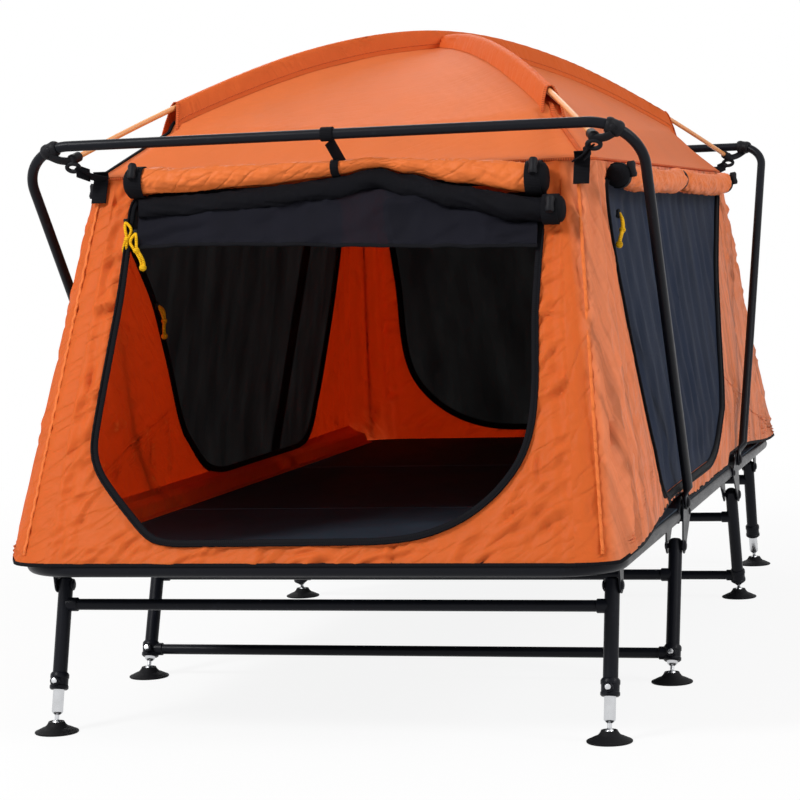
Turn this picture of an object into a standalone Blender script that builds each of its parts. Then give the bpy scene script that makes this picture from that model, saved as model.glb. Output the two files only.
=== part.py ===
"""Tent cot: a three-section folding camp bed on four leg frames, with a pole tent on two folding hoops.

Metres, +Z up, +X to the right, the door end at -Y. The origin is on the floor under the middle.
Each piece is built where it stands and hung under an empty on the axis of the joint it moves on.
"""
from math import atan2, ceil, copysign, cos, hypot, pi, radians, sin, sqrt

import bmesh
import bpy
from mathutils import Matrix, Vector

# Fits and clearances
GAP = 0.0003
PIN_FIT = 0.0004
SLIDE_FIT = 0.0005
CUT_OVER = 0.004
WELD = 0.00002
FLAT_ANGLE = radians(0.2)

# Bed frame
RAIL_X = 0.440
RAIL_R = 0.012
RAIL_Z = 0.256
FRAME_END_Y = 0.968
FRAME_CORNER_R = 0.085
HINGE_Y = 0.352
RAIL_END_GAP = 0.030
DECK_T = 0.003
DECK_OUT_X = 0.008
DECK_EDGE = 0.003
PIN_R = 0.004
PIN_OVER_DECK = 0.0052

# Hinge brackets and the pins that they hold
PLATE_T = 0.0025
PLATE_BOSS_R = 0.013
PLATE_ARM_R = 0.0105
PLATE_ARM_Y = 0.300
WEB_T = 0.0022
WEB_SHY = 0.002
KNUCKLE_R = 0.0095
KNUCKLE_SIDE_GAP = 0.002
KNUCKLE_INSET = 0.002
PIN_HEAD_R = 0.0075
PIN_HEAD_T = 0.0034

# Leg frames: the outer pair stands under the end sections, the middle pair at the hinges
LEG_R = 0.011
LEG_BORE_R = 0.0092
END_LEG_IN_X = 0.022
END_LEG_IN_Y = 0.130
END_LEG_DROP = 0.042
END_LEG_TILT = radians(17)
END_INNER_OUT = 0.05066
END_BORE_SPARE = 0.03166
END_BAR_AT = 0.030
MID_LEG_OUT_Y = 0.014
MID_LEG_DROP = 0.048
MID_LEG_TILT = radians(22)
MID_INNER_OUT = 0.02078
MID_BORE_SPARE = 0.00178
MID_TOP_BAR_AT = 0.048
MID_LOW_BAR_UP = 0.013
BAR_R = 0.0085
COLLAR_R = 0.0142
COLLAR_H = 0.026
COLLAR_CHAMFER = 0.003
LEG_LUG_T = 0.003
LEG_LUG_R = 0.012

# Buttons in the collars
BOSS_R = 0.0072
BOSS_REACH = 0.0205
BOSS_RISE = 0.0115
POCKET_FLOOR = 0.0122
BUTTON_R = 0.0046
BUTTON_IN = 0.0158
BUTTON_OUT = 0.0232
BUTTON_EDGE = 0.0010

# Telescopic inner legs and their swivel feet
INNER_R = 0.0085
INNER_LEN = 0.125
BALL_R = 0.0070
NECK_R = 0.0034
NECK_TOP = 0.013
SHOULDER = 0.004
FOOT_R = 0.033
FOOT_RIM_T = 0.003
FOOT_HUB_R = 0.0114
FOOT_HUB_H = 0.0172
FOOT_DOME_R = 0.018
FOOT_DOME_H = 0.0092
BALL_Z = 0.0135
SOCKET_R = 0.0082
MOUTH_RISE = 0.0024

# Hoops
HOOP_R = 0.008
HOOP_OUT_X = 0.030
HOOP_FOOT_OUT_X = 0.0235
HOOP_REACH_Y = 0.437
HOOP_TOP_Z = 0.875
HOOP_BEND_R = 0.048
TAB_T = 0.0050
TAB_R = 0.011
TAB_SHAPE = ((-0.0110, 0.35), (-0.0085, 0.75), (-0.0030, 1.0), (0.0120, 1.0), (0.0210, 0.9))
TUBE_FROM = 0.034

# Roof poles and the clamps that hold them to the hoops
POLE_R = 0.00425
POLE_RISE = 0.198
POLE_CROSS = 0.0105
POLE_BEND_SHARE = 0.5
CLAMP_IN_X = 0.064
CLAMP_R = 0.0132
CLAMP_HALF_W = 0.0135
SOCKET_OUT_R = 0.0078
SOCKET_LEN = 0.040
POLE_STOP = 0.0185

# Tent body: straight fabric walls from the hem to the eave
FABRIC = 0.0025
HEM_OUT_X = 0.0277
HEM_OUT_Y = 0.016
HEM_CORNER_R = 0.075
EAVE_DROP = 0.051
EAVE_IN_X = 0.080
EAVE_IN_Y = 0.045
EAVE_CORNER_R = 0.046
SIDE_HEM_RISE = 0.0165
SIDE_HEM_RUN = 0.075
TUCK_IN = 0.019
TUCK_H = 0.130
TUCK_FLAT_PAST_HINGE = 0.078
TUCK_END_IN_Y = 0.118
BRACKET_HEM_OVER_PIN = 0.0155
BED_HEM_OVER = 0.0012
BED_HEM_BEFORE_HINGE = (0.097, 0.067)
FRONT_ROWS = 6
SIDE_ROWS = 3

# Roof
ROOF_T = 0.003
ROOF_UNDER_POLE = 0.0060
ROOF_TUCK_PAST_SLEEVE = 0.010
PANEL_SAG = 0.026
ROOF_RINGS = 7
SLEEVE_SHY = 0.089
SLEEVE_HALF_W = 0.020
SLEEVE_TOP_HALF_W = 0.007
SLEEVE_OVER = 0.0068
SLEEVE_SUNK = 0.0016
SLEEVE_STATIONS = 16
POLE_STATIONS = 20

# Door and window outlines, as shares of the wall half length (or half width) and of its height
DOOR_SHARES = ((0.828, 0.950), (0.820, 0.80), (0.815, 0.62), (0.83, 0.44), (0.825, 0.34), (0.79, 0.255),
               (0.70, 0.175), (0.58, 0.115), (0.44, 0.080), (0.30, 0.068))
FRONT_EDGE_SHARES = ((-0.60, 0.945), (-0.895, 0.945), (-0.925, 0.78), (-0.900, 0.55), (-0.845, 0.26),
                     (-0.790, 0.135), (-0.700, 0.080))
REAR_EDGE_SHARES = ((0.02, 0.080), (0.14, 0.115), (0.30, 0.27), (0.42, 0.46), (0.56, 0.66),
                    (0.74, 0.83), (0.87, 0.945), (0.60, 0.945))
PANEL_LAP = 0.012
PANEL_T = 0.0015
LAYER_SHARES = (0.045, 0.975)
LAYER_GAP = 0.0008

# Rolled flaps
ROLL_R = 0.020
ROLL_WAVE = 0.0025
ROLL_SEAT = 0.0007
ROLL_SIDES = 8
ROLL_STATIONS = 14
FRONT_ROLL_SHY = 0.075
FRONT_ROLL_DROP = 0.013
SIDE_ROLL_DROP = 0.026
SIDE_ROLL_SHY = 0.109
MESH_ROLL_HALF_H = 0.0410
MESH_ROLL_HALF_T = 0.008
MESH_ROLL_DROP = 0.0635
MESH_ROLL_SHY = 0.072

# Main folds of the fabric: depth, pitch and lean
DOOR_FOLD = 0.009
DOOR_FOLD_PITCH = 0.082
DOOR_FOLD_LEAN = 0.12
FRONT_FOLD = 0.0025
FRONT_FOLD_PITCH = 0.170

TUBE_SIDES = 10
LEG_SIDES = 8
PIN_SIDES = 8
LATHE_SIDES = 12
COLLAR_SIDES = 10
ARC_STEPS = 5

# Sizes that follow from those above
RAIL_TOP = RAIL_Z + RAIL_R
DECK_TOP = RAIL_TOP + GAP + DECK_T
PIN_Z = DECK_TOP + PIN_OVER_DECK
RAIL_OUT = RAIL_X + RAIL_R
PLATE_IN = RAIL_OUT + GAP
PLATE_OUT = PLATE_IN + PLATE_T
INNER_PLATE_OUT = RAIL_X - RAIL_R - GAP
INNER_PLATE_IN = INNER_PLATE_OUT - PLATE_T
TAB_IN = PLATE_OUT + GAP
TAB_OUT = TAB_IN + TAB_T
MIDDLE_RAIL_END = HINGE_Y - RAIL_END_GAP
END_RAIL_START = HINGE_Y + RAIL_END_GAP
HOOP_LEN = hypot(HOOP_REACH_Y, HOOP_TOP_Z - PIN_Z)
HOOP_LEAN = atan2(HOOP_TOP_Z - PIN_Z, HOOP_REACH_Y)
HOOP_TOP_Y = HINGE_Y + HOOP_REACH_Y
DECK_HALF_W = RAIL_X + DECK_OUT_X
END_LEG_X = RAIL_X - END_LEG_IN_X
END_LEG_Y = FRAME_END_Y - END_LEG_IN_Y
END_LEG_Z = RAIL_Z - END_LEG_DROP
MID_LEG_Y = HINGE_Y + MID_LEG_OUT_Y
MID_LEG_Z = RAIL_Z - MID_LEG_DROP
HOOP_HALF_W = RAIL_X + HOOP_OUT_X
HOOP_FOOT_X = RAIL_X + HOOP_FOOT_OUT_X
POLE_APEX_Z = HOOP_TOP_Z + POLE_RISE
CLAMP_X = HOOP_HALF_W - CLAMP_IN_X
CLAMP_REACH = hypot(CLAMP_X, HOOP_TOP_Y)
POLE_DIR = (CLAMP_X / CLAMP_REACH, HOOP_TOP_Y / CLAMP_REACH)
POLE_END = CLAMP_REACH - POLE_STOP
HEM_Z = RAIL_Z
HEM_HALF_W = RAIL_X + HEM_OUT_X
HEM_HALF_L = FRAME_END_Y + HEM_OUT_Y
EAVE_Z = HOOP_TOP_Z - EAVE_DROP
EAVE_HALF_W = HOOP_HALF_W - EAVE_IN_X
EAVE_HALF_L = HOOP_TOP_Y - EAVE_IN_Y
TUCK_FLAT_Y = HINGE_Y + TUCK_FLAT_PAST_HINGE
TUCK_END_Y = FRAME_END_Y - TUCK_END_IN_Y
BRACKET_HEM_Z = PIN_Z + BRACKET_HEM_OVER_PIN
BED_HEM_Y = tuple(HINGE_Y - before for before in BED_HEM_BEFORE_HINGE)
SLEEVE_END = EAVE_HALF_L - SLEEVE_SHY
ROOF_TUCK_FROM = SLEEVE_END + ROOF_TUCK_PAST_SLEEVE
FRONT_ROLL_HALF_L = EAVE_HALF_W - FRONT_ROLL_SHY
FRONT_ROLL_Z = EAVE_Z - FRONT_ROLL_DROP
SIDE_ROLL_Z = EAVE_Z - SIDE_ROLL_DROP
SIDE_ROLL_HALF_L = EAVE_HALF_L - SIDE_ROLL_SHY
MESH_ROLL_Z = EAVE_Z - MESH_ROLL_DROP
MESH_ROLL_HALF_L = EAVE_HALF_W - MESH_ROLL_SHY

ENDS = (("front", -1), ("rear", 1))
SIDES = (("left", -1), ("right", 1))

FINISHES = {
    "black_tube": ((0.012, 0.013, 0.018), 0.38, 0.6),
    "aluminium": ((0.72, 0.73, 0.75), 0.32, 1.0),
    "black_plastic": ((0.014, 0.014, 0.016), 0.5, 0.0),
    "orange_fabric": ((0.76, 0.19, 0.055), 0.75, 0.0),
    "roof_fabric": ((0.80, 0.24, 0.09), 0.7, 0.0),
    "black_mesh": ((0.018, 0.021, 0.028), 0.85, 0.0),
    "deck_fabric": ((0.012, 0.011, 0.014), 0.85, 0.0),
    "fibreglass": ((0.42, 0.14, 0.03), 0.35, 0.0),
}


def mix(low, high, share):
    """The value at a share of the way from low to high."""
    return low + (high - low) * share


def clamp(value, low=0.0, high=1.0):
    return max(low, min(high, value))


def smooth(low, high, value):
    """0 below low, 1 above high, with a soft step between."""
    share = clamp((value - low) / (high - low))
    return share * share * (3 - 2 * share)


def finish(name):
    """The Principled material of one finish, made once."""
    if name in bpy.data.materials:
        return bpy.data.materials[name]
    colour, roughness, metallic = FINISHES[name]
    material = bpy.data.materials.new(name)
    material.use_nodes = True
    shader = material.node_tree.nodes["Principled BSDF"]
    shader.inputs["Base Color"].default_value = (*colour, 1.0)
    shader.inputs["Roughness"].default_value = roughness
    shader.inputs["Metallic"].default_value = metallic
    material.diffuse_color = (*colour, 1.0)
    return material


class Carriers:
    """Empties on the joint axes, which the pieces hang from."""

    def __init__(self):
        self.empties = {}

    def add(self, name, point, parent=None):
        empty = bpy.data.objects.new(name + "_axis", None)
        bpy.context.collection.objects.link(empty)
        origin = Vector(point)
        if parent:
            empty.parent = self.empties[parent][0]
            empty.location = origin - self.empties[parent][1]
        else:
            empty.location = origin
        self.empties[name] = (empty, origin)

    def hang(self, name, solid, finish_name, carrier):
        """Make the node called name from a solid built in place, carried by one empty."""
        empty, origin = self.empties[carrier]
        tidy(solid)
        bmesh.ops.translate(solid, verts=solid.verts, vec=-origin)
        mesh = bpy.data.meshes.new(name)
        solid.to_mesh(mesh)
        solid.free()
        mesh.shade_smooth()
        mesh.set_sharp_from_angle(angle=radians(35))
        mesh.materials.append(finish(finish_name))
        node = bpy.data.objects.new(name, mesh)
        bpy.context.collection.objects.link(node)
        node.parent = empty
        return node


def tidy(solid):
    """Weld stray points of a solid and turn its faces out."""
    bmesh.ops.remove_doubles(solid, verts=solid.verts, dist=WELD)
    bmesh.ops.dissolve_degenerate(solid, edges=solid.edges, dist=WELD)
    bmesh.ops.dissolve_limit(solid, angle_limit=FLAT_ANGLE, verts=solid.verts, edges=solid.edges)
    bmesh.ops.triangulate(solid, faces=solid.faces)
    bmesh.ops.recalc_face_normals(solid, faces=solid.faces)


def rings_solid(rings):
    """A closed solid through rings of points, each with as many points, with flat ends."""
    solid = bmesh.new()
    rows = [[solid.verts.new(point) for point in ring] for ring in rings]
    count = len(rows[0])
    for near, far in zip(rows, rows[1:]):
        for i in range(count):
            j = (i + 1) % count
            solid.faces.new((near[i], near[j], far[j], far[i]))
    solid.faces.new(list(reversed(rows[0])))
    solid.faces.new(rows[-1])
    bmesh.ops.recalc_face_normals(solid, faces=solid.faces)
    return solid


def ring(centre, across, up, radius, sides):
    """Points of a ring round a centre, in the plane of two unit vectors, flats to the axes."""
    turn = pi / sides
    return [centre + across * (radius * cos(2 * pi * i / sides + turn))
            + up * (radius * sin(2 * pi * i / sides + turn)) for i in range(sides)]


def sweep(points, radius, plane_normal, sides=TUBE_SIDES, flats=None):
    """A round bar along a path that lies in one plane.

    flats gives some path points, by number, a flattened section: half width and half thickness.
    """
    points = [Vector(p) for p in points]
    across = Vector(plane_normal).normalized()
    rings = []
    for i, point in enumerate(points):
        before = points[max(i - 1, 0)]
        after = points[min(i + 1, len(points) - 1)]
        along = (after - before).normalized()
        up = across.cross(along).normalized()
        stretch = 1.0
        if 0 < i < len(points) - 1:
            bend = (point - before).normalized().angle((after - point).normalized())
            stretch = 1.0 / cos(bend / 2)
        if flats and i in flats:
            wide, thick = flats[i]
            square = ring(Vector(), Vector((1, 0, 0)), Vector((0, 1, 0)), 1, sides)
            rings.append([point + across * (wide * copysign(abs(p.x) ** 0.5, p.x))
                          + up * (thick * copysign(abs(p.y) ** 0.2, p.y)) for p in square])
        else:
            rings.append(ring(point, across, up * stretch, radius, sides))
    return rings_solid(rings)


def rod(start, end, radius, sides=PIN_SIDES, flat=(1, 0, 0)):
    """A straight round bar. flat is a vector across it that sets how its sides are turned."""
    start, end = Vector(start), Vector(end)
    along = (end - start).normalized()
    across = Vector(flat)
    if abs(along.dot(across)) > 0.9:
        across = Vector((0, 0, 1))
    across = (across - along * across.dot(along)).normalized()
    up = across.cross(along)
    return rings_solid([ring(start, across, up, radius, sides), ring(end, across, up, radius, sides)])


def hole(start, end, radius, sides=PIN_SIDES, flat=(1, 0, 0)):
    """A cutting bar whose flats clear the radius."""
    return rod(start, end, radius / cos(pi / sides), sides, flat)


def turned(profile, sides=LATHE_SIDES):
    """A solid of revolution about +Z from (radius, height) points that start and end on the axis."""
    solid = bmesh.new()
    rows = []
    for radius, height in profile:
        if radius == 0:
            rows.append([solid.verts.new((0, 0, height))])
        else:
            rows.append([solid.verts.new((radius * cos(2 * pi * i / sides), radius * sin(2 * pi * i / sides),
                                          height)) for i in range(sides)])
    for near, far in zip(rows, rows[1:]):
        for i in range(sides):
            j = (i + 1) % sides
            corners = [near[i % len(near)], near[j % len(near)], far[j % len(far)], far[i % len(far)]]
            solid.faces.new(list(dict.fromkeys(corners)))
    bmesh.ops.recalc_face_normals(solid, faces=solid.faces)
    return solid


def placed(solid, point, axis):
    """Turn a solid's +Z to an axis in the YZ plane and move its origin to a point."""
    axis = Vector(axis).normalized()
    turn = Matrix.Rotation(atan2(-axis.y, axis.z), 4, "X")
    bmesh.ops.transform(solid, matrix=Matrix.Translation(Vector(point)) @ turn, verts=solid.verts)
    return solid


def prism(outline, low, high, axis="x"):
    """Extrude a closed outline of two coordinates along x, y or z from low to high."""
    def point(a, b, depth):
        return {"x": (depth, a, b), "y": (a, depth, b), "z": (a, b, depth)}[axis]
    return rings_solid([[Vector(point(a, b, depth)) for a, b in outline] for depth in (low, high)])


def circle_points(centre, radius, start=0.0, end=2 * pi, steps=PIN_SIDES):
    """Points on an arc in a plane, from start to end."""
    closed = abs(abs(end - start) - 2 * pi) < radians(1)
    last = steps if closed else steps + 1
    return [(centre[0] + radius * cos(mix(start, end, i / steps)),
             centre[1] + radius * sin(mix(start, end, i / steps))) for i in range(last)]


def hull(points):
    """The convex outline of points in a plane, anticlockwise."""
    points = sorted(set(points))

    def half(ordered):
        chain = []
        for p in ordered:
            while len(chain) > 1:
                (ax, ay), (bx, by) = chain[-2], chain[-1]
                if (bx - ax) * (p[1] - ay) - (by - ay) * (p[0] - ax) > 0:
                    break
                chain.pop()
            chain.append(p)
        return chain[:-1]
    return half(points) + half(list(reversed(points)))


def combine(solid, tool, operation):
    """Join two closed solids, or cut one by the other, with the exact solver."""
    temporary = []
    for part in (solid, tool):
        bmesh.ops.triangulate(part, faces=part.faces)
        bmesh.ops.recalc_face_normals(part, faces=part.faces)
        mesh = bpy.data.meshes.new("work")
        part.to_mesh(mesh)
        part.free()
        body = bpy.data.objects.new("work", mesh)
        bpy.context.collection.objects.link(body)
        temporary.append(body)
    modifier = temporary[0].modifiers.new("combine", "BOOLEAN")
    modifier.operation = operation
    modifier.solver = "EXACT"
    modifier.object = temporary[1]
    graph = bpy.context.evaluated_depsgraph_get()
    result_mesh = bpy.data.meshes.new_from_object(temporary[0].evaluated_get(graph))
    result = bmesh.new()
    result.from_mesh(result_mesh)
    bpy.data.meshes.remove(result_mesh)
    for body in temporary:
        mesh = body.data
        bpy.data.objects.remove(body)
        bpy.data.meshes.remove(mesh)
    bmesh.ops.remove_doubles(result, verts=result.verts, dist=WELD)
    return result


def joined(*solids):
    result = solids[0]
    for other in solids[1:]:
        result = combine(result, other, "UNION")
    return result


def cut(solid, *tools):
    for tool in tools:
        solid = combine(solid, tool, "DIFFERENCE")
    return solid


def bent_path(corners, radius, steps=ARC_STEPS):
    """Points along a path of straight runs whose inner corners are rounded to one radius."""
    corners = [Vector(c) for c in corners]
    path = [corners[0]]
    for before, corner, after in zip(corners, corners[1:], corners[2:]):
        back, ahead = (before - corner).normalized(), (after - corner).normalized()
        half = back.angle(ahead) / 2
        centre = corner + (back + ahead).normalized() * (radius / sin(half))
        start = corner + back * (radius * cos(half) / sin(half)) - centre
        end = corner + ahead * (radius * cos(half) / sin(half)) - centre
        whole = start.angle(end)
        for i in range(steps + 1):
            share = i / steps
            path.append(centre + (start * sin((1 - share) * whole) + end * sin(share * whole)) / sin(whole))
    path.append(corners[-1])
    return path


# Bed frame

def middle_rail(side):
    return rod((side * RAIL_X, -MIDDLE_RAIL_END, RAIL_Z), (side * RAIL_X, MIDDLE_RAIL_END, RAIL_Z), RAIL_R,
               sides=TUBE_SIDES, flat=(1, 0, 0))


def plate_outline(end):
    """Outline of a hinge bracket's plate: round its pin, its leg pivot and its arm along the rail."""
    points = circle_points((end * HINGE_Y, PIN_Z), PLATE_BOSS_R)
    points += circle_points((end * MID_LEG_Y, MID_LEG_Z), PLATE_BOSS_R)
    points += circle_points((end * PLATE_ARM_Y, RAIL_Z), PLATE_ARM_R)
    return hull(points)


def hinge_bracket(end, side):
    """A channel round the rail end: two plates, a web under the rail, the hinge pin and the leg's pivot."""
    outline = plate_outline(end)
    inner = prism(outline, side * INNER_PLATE_IN, side * INNER_PLATE_OUT)
    outer = prism(outline, side * PLATE_IN, side * PLATE_OUT)
    web_top = RAIL_Z - RAIL_R - GAP
    web_y = sorted((end * PLATE_ARM_Y, end * (MIDDLE_RAIL_END + WEB_SHY)))
    section = [(web_y[0], web_top - WEB_T), (web_y[1], web_top - WEB_T), (web_y[1], web_top),
               (web_y[0], web_top)]
    web = prism(section, side * (INNER_PLATE_OUT - PLATE_T / 2), side * (PLATE_IN + PLATE_T / 2))
    pin_y = end * HINGE_Y
    head_in = TAB_OUT + GAP
    pin = rod((side * (INNER_PLATE_IN + PLATE_T / 2), pin_y, PIN_Z),
              (side * (head_in + PIN_HEAD_T / 2), pin_y, PIN_Z), PIN_R)
    head = rod((side * head_in, pin_y, PIN_Z), (side * (head_in + PIN_HEAD_T), pin_y, PIN_Z), PIN_HEAD_R)
    leg_pin = rod((side * (INNER_PLATE_IN + PLATE_T / 2), end * MID_LEG_Y, MID_LEG_Z),
                  (side * (PLATE_IN + PLATE_T / 2), end * MID_LEG_Y, MID_LEG_Z), PIN_R)
    return joined(inner, web, outer, pin, head, leg_pin)


def knuckle(end, side):
    """The end of an end section's rail, raised to the hinge pin above it."""
    start = END_RAIL_START + RAIL_R / 2
    half_h = RAIL_R - KNUCKLE_INSET
    points = [(end * start, RAIL_Z - half_h), (end * start, RAIL_Z + half_h),
              (end * END_RAIL_START, RAIL_Z - half_h)]
    points += circle_points((end * HINGE_Y, PIN_Z), KNUCKLE_R)
    half = RAIL_R - KNUCKLE_SIDE_GAP
    return prism(hull(points), side * (RAIL_X - half), side * (RAIL_X + half))


def leg_lug(end, side):
    """A plate under an end section's rail, with the pivot of the leg frame on its inner side."""
    face = END_LEG_X + LEG_R + GAP
    points = circle_points((end * END_LEG_Y, END_LEG_Z), LEG_LUG_R)
    points += [(end * (END_LEG_Y - LEG_LUG_R * 1.6), RAIL_Z), (end * (END_LEG_Y + LEG_LUG_R * 1.6), RAIL_Z)]
    plate = prism(hull(points), side * face, side * (face + LEG_LUG_T))
    inner = END_LEG_X - LEG_R - GAP
    pin = rod((side * (face + LEG_LUG_T / 2), end * END_LEG_Y, END_LEG_Z),
              (side * (inner - PIN_HEAD_T / 2), end * END_LEG_Y, END_LEG_Z), PIN_R)
    head = rod((side * inner, end * END_LEG_Y, END_LEG_Z), (side * (inner - PIN_HEAD_T), end * END_LEG_Y,
               END_LEG_Z), PIN_HEAD_R)
    return joined(plate, pin, head)


def end_frame(end):
    """The U-shaped tube of one end section, with its hinge knuckles and leg lugs."""
    corners = [(-RAIL_X, end * END_RAIL_START, RAIL_Z), (-RAIL_X, end * FRAME_END_Y, RAIL_Z),
               (RAIL_X, end * FRAME_END_Y, RAIL_Z), (RAIL_X, end * END_RAIL_START, RAIL_Z)]
    solid = sweep(bent_path(corners, FRAME_CORNER_R), RAIL_R, (0, 0, 1))
    for _, side in SIDES:
        bore = hole((side * (RAIL_X - RAIL_R - CUT_OVER), end * HINGE_Y, PIN_Z),
                    (side * (RAIL_X + RAIL_R + CUT_OVER), end * HINGE_Y, PIN_Z), PIN_R + PIN_FIT)
        solid = joined(solid, cut(knuckle(end, side), bore), leg_lug(end, side))
    return solid


def deck_outline(end):
    """Plan of an end section's deck, notched round the hinge brackets."""
    near = HINGE_Y + DECK_EDGE
    notch_y = END_RAIL_START + DECK_EDGE
    notch_x = INNER_PLATE_IN - DECK_EDGE
    far = FRAME_END_Y
    radius = FRAME_CORNER_R
    outline = [(notch_x, near), (notch_x, notch_y), (DECK_HALF_W, notch_y)]
    outline += circle_points((DECK_HALF_W - radius, far - radius), radius, 0, pi / 2, ARC_STEPS)
    outline += [(-x, y) for x, y in reversed(outline)]
    return [(x, end * y) for x, y in outline]


def middle_deck_outline():
    near = HINGE_Y - DECK_EDGE
    notch_x = INNER_PLATE_IN - DECK_EDGE
    notch_y = PLATE_ARM_Y - PLATE_ARM_R - DECK_EDGE
    quarter = [(DECK_HALF_W, notch_y), (notch_x, notch_y), (notch_x, near)]
    outline = quarter + [(-x, y) for x, y in reversed(quarter)]
    return outline + [(-x, -y) for x, y in outline]


def deck(outline):
    return prism(outline, RAIL_TOP + GAP, DECK_TOP, axis="z")


# Legs

class Row:
    """The line of the legs of one row: pivot, direction, outward normal, length and ball place."""

    def __init__(self, end, kind):
        if kind == "end":
            self.x, place, height, tilt = END_LEG_X, END_LEG_Y, END_LEG_Z, END_LEG_TILT
            inner_out, bore_spare = END_INNER_OUT, END_BORE_SPARE
        else:
            self.x, place, height, tilt = RAIL_X, MID_LEG_Y, MID_LEG_Z, MID_LEG_TILT
            inner_out, bore_spare = MID_INNER_OUT, MID_BORE_SPARE
        self.pivot = Vector((0, end * place, height))
        self.along = Vector((0, end * sin(tilt), -cos(tilt)))
        self.out = Vector((0, end * cos(tilt), sin(tilt)))
        self.ball_at = (height - BALL_Z) / cos(tilt)
        self.length = self.ball_at - inner_out
        self.bore_from = self.ball_at - INNER_LEN - bore_spare
        self.bars = (END_BAR_AT,) if kind == "end" else (MID_TOP_BAR_AT, self.length - MID_LOW_BAR_UP)

    def point(self, side, distance):
        """A point on the axis of the left or right leg, at a distance below the pivot."""
        return self.pivot + Vector((side * self.x, 0, 0)) + self.along * distance


def leg_frame(row):
    """Two outer leg tubes with collars and button bosses, joined by crossbars."""
    solid = None
    for _, side in SIDES:
        tube = rod(row.point(side, -LEG_R), row.point(side, row.length - COLLAR_CHAMFER), LEG_R, LEG_SIDES)
        collar = turned([(0, 0), (COLLAR_R - COLLAR_CHAMFER, 0), (COLLAR_R, COLLAR_CHAMFER),
                         (COLLAR_R, COLLAR_H - COLLAR_CHAMFER), (COLLAR_R - COLLAR_CHAMFER, COLLAR_H),
                         (0, COLLAR_H)], COLLAR_SIDES)
        collar = placed(collar, row.point(side, row.length), -row.along)
        at = row.point(side, row.length - BOSS_RISE)
        boss = rod(at, at + row.out * BOSS_REACH, BOSS_R, PIN_SIDES)
        solid = joined(solid, tube, collar, boss) if solid else joined(tube, collar, boss)
    for at in row.bars:
        solid = joined(solid, rod(row.point(-1, at), row.point(1, at), BAR_R, LEG_SIDES, row.along))
    over = Vector((LEG_R + CUT_OVER, 0, 0))
    for _, side in SIDES:
        at = row.point(side, row.length - BOSS_RISE)
        solid = cut(solid,
                    hole(row.point(side, row.bore_from), row.point(side, row.length + CUT_OVER),
                         LEG_BORE_R, LEG_SIDES),
                    hole(row.point(side, 0) - over, row.point(side, 0) + over, PIN_R + PIN_FIT),
                    hole(at + row.out * POCKET_FLOOR, at + row.out * (BOSS_REACH + CUT_OVER),
                         BUTTON_R + GAP))
    return solid


def leg_button(row, side):
    profile = [(0, BUTTON_IN), (BUTTON_R, BUTTON_IN), (BUTTON_R, BUTTON_OUT - BUTTON_EDGE),
               (BUTTON_R - BUTTON_EDGE, BUTTON_OUT), (0, BUTTON_OUT)]
    return placed(turned(profile, PIN_SIDES), row.point(side, row.length - BOSS_RISE), row.out)


def inner_leg(row, side):
    """The silver tube that slides in the outer leg, with a ball at its foot."""
    belt = BALL_R * cos(pi / 4)
    profile = [(0, -BALL_R), (belt, -belt), (BALL_R, 0), (belt, belt), (NECK_R, BALL_R * cos(pi / 6)),
               (NECK_R, NECK_TOP), (INNER_R, NECK_TOP + SHOULDER), (INNER_R, INNER_LEN), (0, INNER_LEN)]
    return placed(turned(profile, COLLAR_SIDES), row.point(side, row.ball_at), -row.along)


def foot(row, side):
    """A round swivel foot with an open socket round the ball."""
    mouth_r = sqrt(SOCKET_R ** 2 - MOUTH_RISE ** 2)
    belt = SOCKET_R * cos(pi / 4)
    profile = [(0, 0), (FOOT_R, 0), (FOOT_R, FOOT_RIM_T), (FOOT_DOME_R, FOOT_DOME_H),
               (FOOT_HUB_R, FOOT_HUB_H), (mouth_r, BALL_Z + MOUTH_RISE), (SOCKET_R, BALL_Z),
               (belt, BALL_Z - belt), (0, BALL_Z - SOCKET_R)]
    solid = turned(profile)
    ball = row.point(side, row.ball_at)
    bmesh.ops.translate(solid, verts=solid.verts, vec=(ball.x, ball.y, 0))
    return solid


# Hoops, poles and clamps

def hoop_point(end, x, height):
    """A point in a hoop's leaning plane, from its sideways place and its height along the posts."""
    return Vector((x, end * (HINGE_Y + height * cos(HOOP_LEAN)), PIN_Z + height * sin(HOOP_LEAN)))


def hoop(end):
    """A bent tube whose feet are flattened to drilled tabs."""
    corners = [hoop_point(end, -HOOP_FOOT_X, TUBE_FROM), hoop_point(end, -HOOP_HALF_W, HOOP_LEN),
               hoop_point(end, HOOP_HALF_W, HOOP_LEN), hoop_point(end, HOOP_FOOT_X, TUBE_FROM)]
    tube = bent_path(corners, HOOP_BEND_R)
    tab_x = (TAB_IN + TAB_OUT) / 2
    left = [hoop_point(end, -tab_x, height) for height, _ in TAB_SHAPE]
    right = [hoop_point(end, tab_x, height) for height, _ in reversed(TAB_SHAPE)]
    path = left + tube + right
    flats = {}
    for i, (_, wide) in enumerate(TAB_SHAPE):
        flats[i] = flats[len(path) - 1 - i] = (TAB_R * wide, TAB_T / 2)
    normal = Vector((0, -sin(HOOP_LEAN) * end, cos(HOOP_LEAN)))
    solid = sweep(path, HOOP_R, normal, flats=flats)
    for _, side in SIDES:
        solid = cut(solid, hole((side * (TAB_IN - CUT_OVER), end * HINGE_Y, PIN_Z),
                                (side * (TAB_OUT + CUT_OVER), end * HINGE_Y, PIN_Z), PIN_R + PIN_FIT))
    return solid


def pole_height(reach, apex):
    """Height of a pole's centre at a distance from the middle along the tent's diagonal."""
    share = POLE_BEND_SHARE
    bend = (sqrt((reach / CLAMP_REACH) ** 2 + share ** 2) - share) / (sqrt(1 + share ** 2) - share)
    return HOOP_TOP_Z + (apex - HOOP_TOP_Z) * (1 - bend)


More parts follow.
